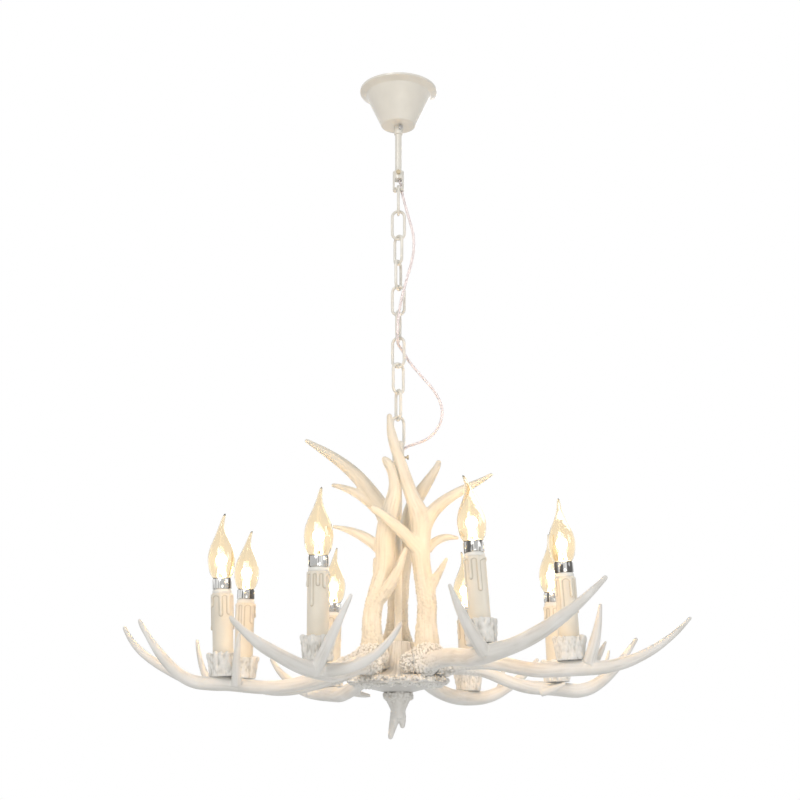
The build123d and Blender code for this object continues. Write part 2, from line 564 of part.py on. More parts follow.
def upright_antler(number):
    """An upright: trunk on the burrs of two arms, tines branching from it."""
    pieces = []
    for stations in UPRIGHTS[number]:
        pieces += limb(stations, UPRIGHT_FLATTEN, Vector(0, 1, 0))
    antler = Pos(0, 0, HUB_Z) * pieces[0].fuse(*pieces[1:])
    antler -= rod(UPRIGHT_SEAT_REACH * 2, HUB_Z - UPRIGHT_SEAT_REACH, HUB_Z + UPRIGHT_SEAT)
    return antler - dowel(number, THREAD_FIT)


# ---------------------------------------------------------------- candles, in a candle's own frame
def candle_cup():
    outside = Spline((CUP_FOOT, 0), (CUP_WAIST, CUP_HEIGHT / 2), (CUP_LIP, CUP_HEIGHT))
    rest = Polyline((CUP_LIP, CUP_HEIGHT), (0, CUP_HEIGHT), (0, 0), (CUP_FOOT, 0))
    cup = revolve(Plane.XZ * make_face([outside, rest]), Axis.Z)
    cup -= rod(SLEEVE_RADIUS + SLIDE_FIT, CUP_FLOOR, CUP_HEIGHT + 1)
    return cup - rod(NIPPLE_RADIUS + THREAD_FIT, -1, CUP_FLOOR + 1)


def candle_sleeve():
    return rod(SLEEVE_RADIUS, CUP_FLOOR, SLEEVE_TOP) - rod(SLEEVE_RADIUS - SLEEVE_WALL, 0, SLEEVE_TOP + 1)


def lampholder():
    body = rod(HOLDER_STEM, CUP_FLOOR, SLEEVE_TOP)
    body = body.fuse(rod(HOLDER_RADIUS, SLEEVE_TOP - HOLDER_BODY, SLEEVE_TOP))
    ring = rod(HOLDER_RING, SLEEVE_TOP, HOLDER_TOP)
    body = body.fuse(ring)
    body -= rod(CAP_RADIUS + SLIDE_FIT, HOLDER_TOP - HOLDER_BORE_DEPTH, HOLDER_TOP + 1)
    return body - rod(NIPPLE_RADIUS + THREAD_FIT, 0, CUP_FLOOR + NIPPLE_IN_HOLDER)


def candle_nipple():
    return rod(NIPPLE_RADIUS, -NIPPLE_IN_ARM, CUP_FLOOR + NIPPLE_IN_HOLDER)


def bulb_base():
    """Screw cap, collar and the stem of the light source inside the glass."""
    base = rod(CAP_RADIUS, BULB_FOOT - CAP_LENGTH, BULB_FOOT + 1)
    base = base.fuse(rod(COLLAR_BULB_RADIUS, BULB_FOOT, BULB_FOOT + COLLAR_BULB_HEIGHT))
    stem_foot = BULB_FOOT + COLLAR_BULB_HEIGHT - 1
    return base.fuse(rod(FILAMENT_STEM, stem_foot, stem_foot + FILAMENT_HEIGHT))


def bulb_glass(number):
    """Hollow flame-shaped glass on the collar, with a bent tip."""
    def flame(inset):
        edge = Spline(*[(radius - inset, height) for radius, height in FLAME])
        foot = (FLAME[0][0] - inset, FLAME[0][1])
        head = (FLAME[-1][0] - inset, FLAME[-1][1])
        rest = Polyline(head, (0, head[1]), (0, foot[1]), foot)
        return revolve(Plane.XZ * make_face([edge, rest]), Axis.Z)

    glass = flame(0).fuse(*limb(FLAME_TIP, 1.0)) - flame(GLASS_WALL)
    return Pos(0, 0, BULB_FOOT + COLLAR_BULB_HEIGHT) * Rot(0, 0, FLAME_TURN[number]) * glass


# ---------------------------------------------------------------- cord
def power_cord():
    """Cord from the web of the upper loop to the web of the lower one."""
    lower_turn = radians(LOWER_LOOP_YAW)
    lower_x = CORD_HOLE_SHIFT * sin(lower_turn)
    lower_y = -CORD_HOLE_SHIFT * cos(lower_turn)
    start = [
        (CORD_HOLE_SHIFT, 0, STEM_BOTTOM),
        (CORD_HOLE_SHIFT, 0, STEM_BOTTOM - LOOP_SHOULDER - 3.0),
        (BAR_HOLE_SHIFT, 0, UPPER_BAR_TOP + 3.1),
        (BAR_HOLE_SHIFT + 0.05, 0, UPPER_BAR_TOP - BAR_THICK - 3.0),
    ]
    end = [(lower_x, lower_y, PIPE_TOP + 6.6), (lower_x, lower_y, PIPE_TOP)]
    points = [Vector(*point) for point in start + CORD_ROUTE + end]
    radii = []
    for before, corner, after in zip(points, points[1:], points[2:]):
        half_turn = (corner - before).get_angle(after - corner) / 2
        shorter = min((corner - before).length, (after - corner).length)
        radii.append(0.45 * shorter / tan(radians(half_turn)))
    print("cord radii:", [round(radius, 1) for radius in radii])
    path = FilletPolyline(*points, radius=radii)
    section = Plane(origin=path @ 0, z_dir=path % 0) * Circle(CORD_RADIUS)
    cord = sweep(section, path)
    print("cord volume share:", cord.volume / (pi * CORD_RADIUS ** 2 * path.length))
    return cord


# ---------------------------------------------------------------- nodes
save(ceiling_bracket(), "ceiling_bracket")
save(stem_tube(), "stem_tube")
save(upper_loop(), "upper_loop")
upper_screw_z = UPPER_LOOP_TOP - UPPER_SCREW_DROP
save(set_screw(0, upper_screw_z, STEM_RADIUS, LOOP_RADIUS, SCREW_STANDOFF), "upper_loop_screw")
save(canopy_cup(), "canopy_cup")
save(canopy_collar(), "canopy_collar")
collar_screw_z = -CANOPY_DEPTH - COLLAR_SCREW_DROP
save(
    set_screw(COLLAR_SCREW_AZIMUTH, collar_screw_z, STEM_RADIUS + SLIDE_FIT, COLLAR_RADIUS, SCREW_STANDOFF),
    "canopy_collar_screw",
)
for order in range(len(LINK_YAW)):
    save(chain_link(order), f"chain_link_{order + 1:02d}")
save(lower_loop(), "lower_loop")
thumb_screw_z = LOWER_LOOP_END + THUMB_SCREW_RISE
save(set_screw(90, thumb_screw_z, PIPE_RADIUS, LOOP_RADIUS, THUMB_SCREW_REACH), "lower_loop_screw")
save(centre_pipe(), "centre_pipe")
save(hub_casting(), "hub_casting")
save(hub_core(), "hub_core")
save(hub_cover(), "hub_cover")
save(finial(), "finial")
save(arm_studs(), "arm_studs")
save(group(dowel(number, 0) for number in UPRIGHTS), "upright_dowels")
for number in ARM_INNER:
    save(arm_antler(number), f"arm_antler_{number}")
for number in UPRIGHTS:
    save(upright_antler(number), f"upright_antler_{number}")
save(group(candle_frame(number) * candle_cup() for number in CANDLE_AZIMUTH), "candle_cups")
save(group(candle_frame(number) * candle_sleeve() for number in CANDLE_AZIMUTH), "candle_sleeves")
save(group(candle_frame(number) * lampholder() for number in CANDLE_AZIMUTH), "lampholders")
save(group(candle_frame(number) * candle_nipple() for number in CANDLE_AZIMUTH), "candle_nipples")
for number in CANDLE_AZIMUTH:
    save(candle_frame(number) * bulb_base(), f"bulb_{number}_base")
    save(candle_frame(number) * bulb_glass(number), f"bulb_{number}_glass")
save(power_cord(), "power_cord")
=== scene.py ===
"""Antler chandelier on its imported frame: eight antler arms with candles, four upright antlers,
a chain with its cord, a short stem and a cup canopy. Metres, +Z up, the ceiling at z = 0.
"""
import json
import math
import random
from itertools import product

import bmesh
import bpy
import numpy as np
from mathutils import Matrix, Vector

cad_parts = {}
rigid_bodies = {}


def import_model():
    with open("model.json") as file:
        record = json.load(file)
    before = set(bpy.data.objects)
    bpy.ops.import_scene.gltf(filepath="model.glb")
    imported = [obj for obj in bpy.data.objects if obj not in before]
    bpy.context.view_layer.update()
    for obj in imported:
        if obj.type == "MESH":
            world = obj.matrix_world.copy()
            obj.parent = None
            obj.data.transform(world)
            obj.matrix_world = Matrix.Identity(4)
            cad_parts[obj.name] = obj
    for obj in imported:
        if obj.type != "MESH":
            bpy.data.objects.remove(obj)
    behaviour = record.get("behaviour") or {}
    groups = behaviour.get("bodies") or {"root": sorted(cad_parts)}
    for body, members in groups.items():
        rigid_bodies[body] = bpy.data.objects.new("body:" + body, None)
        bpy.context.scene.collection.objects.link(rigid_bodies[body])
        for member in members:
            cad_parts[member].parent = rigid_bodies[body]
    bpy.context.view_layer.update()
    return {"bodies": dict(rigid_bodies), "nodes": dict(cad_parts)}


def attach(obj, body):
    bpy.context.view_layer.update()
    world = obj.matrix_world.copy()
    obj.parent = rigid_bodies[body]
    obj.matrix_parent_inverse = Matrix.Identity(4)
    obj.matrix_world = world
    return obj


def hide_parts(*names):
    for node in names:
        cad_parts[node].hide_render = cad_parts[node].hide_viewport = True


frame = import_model()
NODES = frame["nodes"]
MM = 0.001
WELD = 0.00002

# ---------------------------------------------------------------- sizes of the CAD, in mm and degrees
# Azimuths are measured from the viewer's side, positive to the right. Candle rises and sides are those of
# the cup's foot, over the hub's level and square to its azimuth.
HUB_Z = -829.05
ROOT_AZIMUTH = {1: -78.0, 2: -118.0, 3: -38.0, 4: -158.0, 5: 38.0, 6: 158.0, 7: 78.0, 8: 118.0}
BURR_PLACE = 57.0
CANDLE_REACH = 234.0
CANDLE_AZIMUTH = {1: -67.5, 2: -112.5, 3: -22.5, 4: -155.5, 5: 22.5, 6: 155.5, 7: 67.5, 8: 112.5}
CANDLE_RISE = {1: -19.0, 2: -12.0, 3: -8.0, 4: -18.0, 5: 11.0, 6: -24.0, 7: 1.0, 8: -17.0}
CANDLE_SIDE = {1: -1.0, 2: -5.0, 3: -3.0, 4: 2.0, 5: 8.0, 6: -6.0, 7: -4.0, 8: -3.0}
CANDLE_LEAN = {1: -3.0, 2: 0.5, 3: -0.5, 4: 1.0, 5: -3.6, 6: -1.5, 7: -2.8, 8: -1.3}
CANDLE_TIP_BACK = {1: 0.0, 2: 0.0, 3: 0.0, 4: 0.0, 5: 5.0, 6: 0.0, 7: 0.0, 8: 0.0}
FLAME_TURN = {1: 15.0, 2: 25.0, 3: 60.0, 4: 60.0, 5: 170.0, 6: 120.0, 7: 80.0, 8: 100.0}
CUP_FLOOR = 16.0
SLEEVE_RADIUS = 13.0
SLEEVE_WALL = 1.5
SLEEVE_TOP = 102.5
BULB_FOOT = 108.3
# Stations of a limb are (x, y, z, thickness) along its middle, and z is over the hub's level. An arm's x
# runs out towards its candle's azimuth. In ARM_OUTER and ARM_TINES x and z are from the cup's foot. The
# first limb of an upright is its trunk, in the lamp's own x and y.
ARM_INNER = {
    1: [(66, -11, 0, 25), (133, -6, -25, 17), (191, 2, -31, 17)],
    2: [(66, -7, 0, 25), (120, -6, -20, 17), (180, -3, -28, 17)],
    3: [(64, -17, 0, 25), (127, -18, -12, 21), (190, -8, -19, 21)],
    4: [(68, -3, 0, 24), (122, 3, -17, 20), (180, 7, -31, 21)],
    5: [(64, 17, 1, 25), (128, 22, 4, 22), (190, 14, -1, 22)],
    6: [(68, 3, 0, 24), (114, 8, -17, 20), (172, 0, -32, 21)],
    7: [(66, 11, 0, 25), (137, 8, 0, 19), (195, -2, -10, 19)],
    8: [(66, 6, 0, 25), (125, -2, -6, 15), (190, 1, -24, 18)],
}
# Side and thickness of the beam under the cup, and how far its middle lies under the cup, in thicknesses.
ARM_SEAT = {1: (1, 18), 2: (-5, 18), 3: (-1, 22), 4: (7, 22),
            5: (9, 24), 6: (-9, 22), 7: (-4, 21), 8: (-3, 20)}
SEAT_SINK = 0.46
ARM_OUTER = {
    1: [(40, 1, -6, 16), (75, -3, 20, 13), (106, -11, 66, 5)],
    2: [(45, 20, -8, 15), (86, 46, 10, 13), (117, 68, 34, 11), (134, 87, 66, 6)],
    3: [(32, -3, -9, 18), (72, -12, 1, 16), (101, -22, 12, 14), (132, -44, 40, 5)],
    4: [(37, 25, -6, 17), (58, 48, 12, 13), (73, 69, 42, 6)],
    5: [(46, 21, -5, 19), (85, 36, 8, 18), (112, 49, 22, 15), (149, 86, 64, 6)],
    6: [(22, -26, -8, 19), (42, -52, 7, 16), (54, -76, 27, 11), (60, -92, 46, 6)],
    7: [(38, -7, -10, 17), (68, -2, -4, 15), (97, 6, 9, 12), (144, 26, 49, 5)],
    8: [(34, -10, -11, 19), (69, -17, 7, 16), (96, -20, 33, 11), (118, -21, 60, 6)],
}
ARM_TINES = {
    1: [[(-14, 10, -9, 14), (-8, 27, 18, 10), (-7, 40, 50, 5)]],
    2: [[(43, 10, -6, 13), (60, 4, 18, 9), (71, 1, 53, 5)]],
    3: [[(17, 4, -9, 16), (36, 33, 28, 12), (37, 55, 69, 5)],
        [(-2, 6, -10, 16), (-5, 60, 2, 12), (-12, 95, 40, 6)]],
    4: [[(-78, 2, -8, 14), (-96, -6, -14, 9), (-108, -13, -16, 5)],
        [(24, 24, -8, 14), (46, 22, 12, 10), (54, 16, 38, 5)]],
    5: [[(17, 2, -9, 18), (36, -34, 31, 12), (43, -52, 61, 5)]],
    6: [[(34, -40, 0, 13), (52, -40, 22, 9), (60, -38, 46, 4)]],
    7: [[(24, -10, -4, 17), (36, -15, 30, 12), (43, -17, 65, 5)],
        [(26, 2, -6, 11), (34, 9, 9, 8), (40, 14, 22, 4)]],
    8: [[(62, -9, 0, 12), (75, -5, 20, 8), (85, -2, 44, 4)],
        [(-26, -5, -14, 13), (-14, -17, -10, 10), (-1, -25, -3, 5)]],
}
UPRIGHTS = {
    1: [[(38, -37, 8, 36), (37, -34, 31, 31), (37, -32, 61, 25), (37, -32, 82, 25), (34, -31, 103, 25),
         (31, -31, 124, 24), (29, -30, 150, 26), (29, -30, 187, 29), (19, -27, 218, 19), (6, -26, 257, 16),
         (-7, -26, 297, 14), (-12, -26, 330, 8)],
        [(34, -30, 178, 22), (56, -34, 208, 17), (88, -42, 227, 12), (123, -48, 245, 5)],
        [(38, -25, 148, 14), (60, -14, 166, 11), (79, -6, 167, 5)],
        [(37, -32, 90, 17), (52, -36, 115, 11), (63, -40, 134, 5)],
        [(26, -34, 148, 19), (0, -48, 174, 16), (-32, -58, 198, 9)]],
    2: [[(-34, -37, 8, 34), (-34, -34, 41, 26), (-34, -32, 61, 24), (-30, -30, 82, 23), (-24, -29, 103, 24),
         (-18, -28, 124, 26), (-17, -27, 161, 27), (-11, -26, 199, 25), (-6, -26, 219, 20),
         (-5, -27, 238, 15), (-10, -28, 257, 13), (-18, -28, 270, 9)],
        [(-22, -22, 148, 18), (-52, -12, 171, 13), (-86, -8, 182, 5)],
        [(-25, -22, 108, 14), (-29, -17, 124, 10), (-31, -13, 138, 5)],
        [(-28, -32, 80, 19), (-6, -44, 108, 15), (9, -50, 145, 7)]],
    3: [[(-18, 47, 8, 30), (-13, 34, 26, 23), (-8, 24, 45, 20), (-5, 21, 89, 19), (-8, 20, 140, 21),
         (-17, 23, 200, 25), (-33, 28, 228, 23), (-60, 34, 262, 19), (-95, 42, 291, 14), (-129, 48, 313, 6)],
        [(-28, 26, 212, 18), (-60, 30, 236, 12), (-90, 36, 247, 6)]],
    4: [[(18, 48, 8, 30), (12, 46, 26, 23), (6, 44, 45, 19), (4, 38, 89, 19), (6, 36, 120, 20),
         (12, 35, 170, 21), (19, 34, 215, 21), (33, 34, 240, 18), (45, 33, 258, 14), (56, 36, 279, 8)]],
}
# Route of the cord, in metres, from the web of the upper loop to the web of the lower one.
CORD = [
    (0.0016, 0.0, -0.1395), (0.0016, 0.0, -0.1445), (0.0052, 0.0, -0.1515), (0.00525, 0.0, -0.1624),
    (0.0084, -0.003, -0.176), (0.0115, -0.0056, -0.19), (0.0162, -0.0075, -0.208),
    (0.0214, -0.01, -0.228), (0.0222, -0.0125, -0.25), (0.02, -0.0132, -0.268), (0.0135, -0.013, -0.291),
    (0.007, -0.0128, -0.315), (0.0022, -0.0126, -0.337), (-0.0006, -0.013, -0.359),
    (-0.0012, -0.0132, -0.3805), (-0.0012, -0.006, -0.3887), (0.0012, 0.0032, -0.3908),
    (0.0062, 0.008, -0.3968), (0.0126, 0.0086, -0.408), (0.0235, 0.0062, -0.4235), (0.037, 0.0026, -0.44),
    (0.0502, 0.0, -0.4568), (0.0594, -0.002, -0.4755), (0.0608, -0.003, -0.493),
    (0.0545, -0.0024, -0.511), (0.043, 0.0015, -0.5226), (0.0295, 0.0064, -0.5282),
    (0.0196, 0.0086, -0.5306), (0.0124, 0.0066, -0.5338), (0.0065, 0.00345, -0.5386),
    (0.00141, 0.00075, -0.54195), (0.00141, 0.00075, -0.54855),
]


# ---------------------------------------------------------------- light and view
FLOOR_Z = -2.4
FLOOR_HALF = 9.0
FLOOR_GLOW = 0.65
BULB_POWER = 1.0
BULB_COLOUR = (1.0, 0.62, 0.26)
BULB_LIGHT_RADIUS = 0.0095
WORLD_COLOUR = (0.975, 0.98, 0.985, 1)
WORLD_STRENGTH = 0.48
# name, place, target, size, power, colour
LAMPS = [
    ("key_light", (-1.2, -2.6, 0.9), (0, 0, -0.7), 1.4, 32, (1.0, 0.98, 0.95)),
    ("side_light", (2.6, -1.2, 0.2), (0, 0, -0.6), 1.2, 13, (0.94, 0.97, 1.0)),
    ("low_light", (0.5, -2.5, -1.9), (0, 0, -0.85), 1.2, 13, (1.0, 0.99, 0.97)),
    ("back_light", (0.6, 2.6, 0.6), (0, 0, -0.6), 1.6, 9, (1.0, 1.0, 1.0)),
]
CAMERA_PLACE = (0.0023, -1.7605, -0.9338)
CAMERA_PITCH = 14.774
LENS = 59.42
SENSOR_WIDTH = 36.0


# ---------------------------------------------------------------- noise
HASH_PRIMES = (73856093, 19349663, 83492791, 2654435761)
HASH_MIXER = 1274126177
HASH_MASK = 0xFFFFF


def hashed(cell, seed):
    """One repeatable number from 0 to 1 for each whole-number cell."""
    first, second, third, last = HASH_PRIMES
    mixed = (cell[:, 0] * first) ^ (cell[:, 1] * second) ^ (cell[:, 2] * third) ^ (seed * last)
    mixed = (mixed ^ (mixed >> 13)) * HASH_MIXER
    return ((mixed ^ (mixed >> 16)) & HASH_MASK) / float(HASH_MASK)


def smooth_noise(points, seed):
    """Soft noise from -1 to 1, with features about one unit wide."""
    cell = np.floor(points).astype(np.int64)
    part = points - cell
    part = part * part * (3 - 2 * part)
    total = np.zeros(len(points))
    for corner in product((0, 1), repeat=3):
        east, north, up = np.abs(1 - np.array(corner) - part).T
        total += east * north * up * hashed(cell + corner, seed)
    return 2 * total - 1


def pebbles(points, seed):
    """Rounded grains from 0 between them to 1 on top, about one unit apart."""
    cell = np.floor(points).astype(np.int64)
    nearest = np.full(len(points), 9.0)
    for corner in product((-1, 0, 1), repeat=3):
        there = cell + corner
        spot = np.stack([hashed(there, seed + axis) for axis in range(3)], axis=1)
        nearest = np.minimum(nearest, ((there + spot - points) ** 2).sum(1))
    return np.clip(1 - nearest / 0.5, 0, 1)


def eased(value, low, high):
    """0 below low, 1 above high, smooth between."""
    part = np.clip((value - low) / (high - low), 0, 1)
    return part * part * (3 - 2 * part)


def ring_position(points):
    """Angle round the Z axis as a point on a unit circle, and the distance from that axis."""
    reach = np.hypot(points[:, 0], points[:, 1])
    return points[:, 0] / np.maximum(reach, 1), points[:, 1] / np.maximum(reach, 1), reach


def ring_noise(points, waves, length, seed, shift=0):
    """Noise round the Z axis, finer with more waves and drawn out to a length along the axis."""
    east, north, _ = ring_position(points)
    return smooth_noise(np.stack([east * waves, north * waves, points[:, 2] / length + shift], axis=1), seed)


# ---------------------------------------------------------------- mesh helpers
def per_vertex(mesh, field):
    """A vector for each vertex, such as its place or its normal."""
    flat = np.empty(len(mesh.vertices) * 3)
    mesh.vertices.foreach_get(field, flat)
    return flat.reshape(-1, 3)


def in_mm(piece):
    """The places of a piece's vertices, in mm."""
    return per_vertex(piece.data, "co") / MM


def add_object(name, data):
    piece = bpy.data.objects.new(name, data)
    bpy.context.scene.collection.objects.link(piece)
    return piece


def settled(piece):
    """The piece with its modifiers applied."""
    graph = bpy.context.evaluated_depsgraph_get()
    mesh = bpy.data.meshes.new_from_object(piece.evaluated_get(graph))
    piece.modifiers.clear()
    piece.data = mesh
    return piece


def cast(name, node, voxel, rounding):
    """A copy of a CAD node to carve, remeshed in voxels (mm), its creases rounded off step by step."""
    piece = add_object(name, NODES[node].data.copy())
    shell = bmesh.new()
    shell.from_mesh(piece.data)
    bmesh.ops.remove_doubles(shell, verts=shell.verts, dist=WELD)
    shell.to_mesh(piece.data)
    shell.free()
    piece.data.materials.clear()
    remesh = piece.modifiers.new("cast", "REMESH")
    remesh.mode = "VOXEL"
    remesh.voxel_size = voxel * MM
    remesh.adaptivity = 0
    soften = piece.modifiers.new("rounding", "SMOOTH")
    soften.factor = 0.5
    soften.iterations = rounding
    return settled(piece)


def keep_painted_light_and_shade(mesh, painted_light_and_shade):
    """Keeps painted shade, highlight or glow as a number from 0 to 1 for each vertex, for the material."""
    shade = mesh.attributes.new("painted_light_and_shade", "FLOAT", "POINT")
    shade.data.foreach_set("value", np.clip(painted_light_and_shade, 0, 1).astype(np.float32))


def carve(piece, heights, painted_light_and_shade):
    """Moves each vertex out along its normal by its height (mm) and keeps its painted shade and highlight."""
    mesh = piece.data
    moved = per_vertex(mesh, "co") + per_vertex(mesh, "normal") * (heights * MM)[:, None]
    mesh.vertices.foreach_set("co", moved.ravel())
    keep_painted_light_and_shade(mesh, painted_light_and_shade)
    mesh.shade_smooth()
    mesh.update()


def knobbed(piece, size, seed, height, sink):
    """Covers a piece with knobs of a size and height, sunk a little into it (mm), with painted shade between
    the knobs and painted highlights on their tops.
    """
    knob = pebbles(in_mm(piece) / size, seed)
    # Painted shade between the knobs, painted highlights on them.
    carve(piece, height * knob - sink, 0.5 + 1.2 * (knob - 0.5))


def finish_piece(piece, material, body, nodes=()):
    """Gives a piece its material, its body and the CAD nodes that it stands for."""
    piece.data.materials.clear()
    piece.data.materials.append(material)
    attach(piece, body)
    if nodes:
        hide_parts(*nodes)


def skin(shell, rings):
    """Faces from each ring of vertices to the next."""
    for lower, upper in zip(rings, rings[1:]):
        for step in range(len(lower)):
            after = (step + 1) % len(lower)
            shell.faces.new((lower[step], lower[after], upper[after], upper[step]))


def freed_mesh(shell, name):
    """The mesh of a shell that isn't needed after this."""
    mesh = bpy.data.meshes.new(name)
    shell.to_mesh(mesh)
    shell.free()
    return mesh


# ---------------------------------------------------------------- turned pieces and places
def lathe(outline, steps=64, shape=None):
    """A closed surface turned round Z from (radius, height) points in mm; shape moves each point."""
    shell = bmesh.new()
    rings = []
    for radius, height in outline:
        ring = []
        for step in range(steps):
            angle = 2 * math.pi * step / steps
            point = Vector((radius * math.cos(angle), radius * math.sin(angle), height))
            ring.append(shell.verts.new(shape(point) if shape else point))
        rings.append(ring)
    skin(shell, rings + rings[:1])
    bmesh.ops.recalc_face_normals(shell, faces=shell.faces)
    mesh = freed_mesh(shell, "turned")
    mesh.shade_smooth()
    return mesh


def ellipse(radius, height, half_width, half_height, steps):
    """Outline for lathe() of a ring with an oval section."""
    turns = [2 * math.pi * step / steps for step in range(steps)]
    return [(radius + half_width * math.cos(turn), height + half_height * math.sin(turn)) for turn in turns]


def joined(name, parts):
    """One object from (mesh, matrix) parts in mm."""
    shell = bmesh.new()
    for mesh, matrix in parts:
        copy = mesh.copy()
        copy.transform(Matrix.Scale(MM, 4) @ matrix)
        shell.from_mesh(copy)
        bpy.data.meshes.remove(copy)
    mesh = freed_mesh(shell, name)
    mesh.shade_smooth()
    return add_object(name, mesh)


def around(azimuth, reach, rise=0.0):
    """A point at an azimuth and distance from the lamp's axis, over the hub's level (mm)."""
    angle = math.radians(azimuth)
    return (reach * math.sin(angle), -reach * math.cos(angle), HUB_Z + rise)


def facing_out(azimuth, reach, rise=0.0):
    """Matrix in mm of a piece at such a point, with its Z axis away from the lamp's axis."""
    turn = Matrix.Rotation(math.radians(azimuth) - math.pi / 2, 4, "Z") @ Matrix.Rotation(math.pi / 2, 4, "Y")
    return Matrix.Translation(around(azimuth, reach, rise)) @ turn


def candle_place(number):
    """Matrix of a candle in mm: origin at its cup's foot, Z along it."""
    angle = math.radians(CANDLE_AZIMUTH[number])
    side = CANDLE_SIDE[number]
    x = CANDLE_REACH * math.sin(angle) + side * math.cos(angle)
    y = -CANDLE_REACH * math.cos(angle) + side * math.sin(angle)
    back = Matrix.Rotation(-math.radians(CANDLE_TIP_BACK[number]), 4, "X")
    lean = Matrix.Rotation(math.radians(CANDLE_LEAN[number]), 4, "Y")
    return Matrix.Translation((x, y, HUB_Z + CANDLE_RISE[number])) @ back @ lean


# ---------------------------------------------------------------- materials
# Sockets of the colour mix node, where several share a name.
MIX_FACTOR, MIX_FIRST, MIX_SECOND, MIX_RESULT = 0, 6, 7, 2
# Colour of the glow painted on the bulb glass.
BULB_HALO = (1.0, 0.78, 0.42, 1)
GLASS_SHADOW = (0.99, 0.975, 0.94, 1)


class Paint:
    """A Principled material with its nodes at hand. Scales are in features per metre."""

    def __init__(self, name, colour, roughness, metallic=0.0):
        self.material = bpy.data.materials.new(name)
        self.material.use_nodes = True
        self.material.diffuse_color = (*colour, 1)
        self.tree = self.material.node_tree
        self.shader = self.tree.nodes["Principled BSDF"]
        self.set("Base Color", (*colour, 1))
        self.set("Roughness", roughness)
        self.set("Metallic", metallic)
        self.place = self.tree.nodes.new("ShaderNodeTexCoord").outputs["Object"]
        self.bump = None

    def set(self, socket, value):
        self.shader.inputs[socket].default_value = value

    def link(self, out, into):
        self.tree.links.new(out, into)

    def feed(self, out, socket):
        """Links an output to one of the shader's sockets."""
        self.link(out, self.shader.inputs[socket])

    def noise(self, scale, detail=3.0, rough=0.5, stretch=None):
        """Noise over the piece, stretched along some axes."""
        node = self.tree.nodes.new("ShaderNodeTexNoise")
        node.inputs["Scale"].default_value = scale
        node.inputs["Detail"].default_value = detail
        node.inputs["Roughness"].default_value = rough
        place = self.place
        if stretch:
            mapping = self.tree.nodes.new("ShaderNodeMapping")
            mapping.inputs["Scale"].default_value = stretch
            self.link(place, mapping.inputs["Vector"])
            place = mapping.outputs["Vector"]
        self.link(place, node.inputs["Vector"])
        return node.outputs["Fac"]

    def ramp(self, factor, *stops):
        """Colours along a factor, from (place, colour) stops."""
        node = self.tree.nodes.new("ShaderNodeValToRGB")
        while len(node.color_ramp.elements) < len(stops):
            node.color_ramp.elements.new(0.5)
        for element, (place, colour) in zip(node.color_ramp.elements, stops):
            element.position = place
            element.color = (*colour, 1)
        self.link(factor, node.inputs["Fac"])
        return node.outputs["Color"]

    def multiplied(self, first, second):
        """The product of two colours."""
        node = self.tree.nodes.new("ShaderNodeMix")
        node.data_type = "RGBA"
        node.blend_type = "MULTIPLY"
        node.inputs[MIX_FACTOR].default_value = 1.0
        self.link(first, node.inputs[MIX_FIRST])
        self.link(second, node.inputs[MIX_SECOND])
        return node.outputs[MIX_RESULT]

    def range(self, factor, low, high):
        """A factor from 0 to 1 spread from low to high."""
        node = self.tree.nodes.new("ShaderNodeMapRange")
        node.inputs["To Min"].default_value = low
        node.inputs["To Max"].default_value = high
        self.link(factor, node.inputs["Value"])
        return node.outputs["Result"]

    def raised(self, height, distance, strength):
        """Adds a bump over the bumps before it."""
        node = self.tree.nodes.new("ShaderNodeBump")
        node.inputs["Distance"].default_value = distance
        node.inputs["Strength"].default_value = strength
        self.link(height, node.inputs["Height"])
        if self.bump is not None:
            self.link(self.bump, node.inputs["Normal"])
        self.bump = node.outputs["Normal"]
        self.feed(self.bump, "Normal")

    def painted_light_and_shade(self):
        """The painted shade, highlight or glow kept for each vertex."""
        node = self.tree.nodes.new("ShaderNodeAttribute")
        node.attribute_name = "painted_light_and_shade"
        return node.outputs["Fac"]


def resin(name, groove, face, painted_highlight_colour, roughness):
    """Cast resin: painted shade in its grooves and painted highlights on its crests, faintly mottled and
    grained.
    """
    paint = Paint(name, face, roughness)
    # Painted shade and highlight: the groove colour where the kept number is low, the crest colour where it
    # is high.
    painted_shading = paint.ramp(paint.painted_light_and_shade(), (0.0, groove), (0.45, face), (1.0, painted_highlight_colour))
    patches = paint.ramp(paint.noise(26, detail=4), (0.3, (0.9, 0.885, 0.86)), (0.7, (1.0, 1.0, 1.0)))
    paint.feed(paint.multiplied(painted_shading, patches), "Base Color")
    paint.feed(paint.range(paint.noise(220), roughness - 0.1, roughness + 0.14), "Roughness")
    paint.raised(paint.noise(420, detail=4), 0.00025, 0.45)
    paint.raised(paint.noise(1500, detail=2), 0.0001, 0.35)
    return paint.material


def enamel(name, colour, roughness, coat=0.0):
    """Sprayed paint on metal: an even colour with faint clouding and orange peel."""
    paint = Paint(name, colour, roughness)
    darker = tuple(0.93 * part for part in colour)
    paint.feed(paint.ramp(paint.noise(30, detail=4), (0.35, darker), (0.65, colour)), "Base Color")
    paint.feed(paint.range(paint.noise(90), roughness - 0.06, roughness + 0.08), "Roughness")
    paint.set("Coat Weight", coat)
    paint.set("Coat Roughness", 0.12)
    paint.raised(paint.noise(700, detail=2), 0.00012, 0.3)
    return paint.material


def metal(name, colour, roughness, stretch):
    """Turned or plated metal with fine tool marks and a little tarnish."""
    paint = Paint(name, colour, roughness, 1.0)
    darker = tuple(0.78 * part for part in colour)
    paint.feed(paint.ramp(paint.noise(120, detail=5), (0.3, darker), (0.6, colour)), "Base Color")
    marks = paint.noise(900, 3, 0.6, stretch)
    paint.feed(paint.range(marks, roughness - 0.07, roughness + 0.12), "Roughness")
    paint.raised(marks, 0.00006, 0.4)
    return paint.material


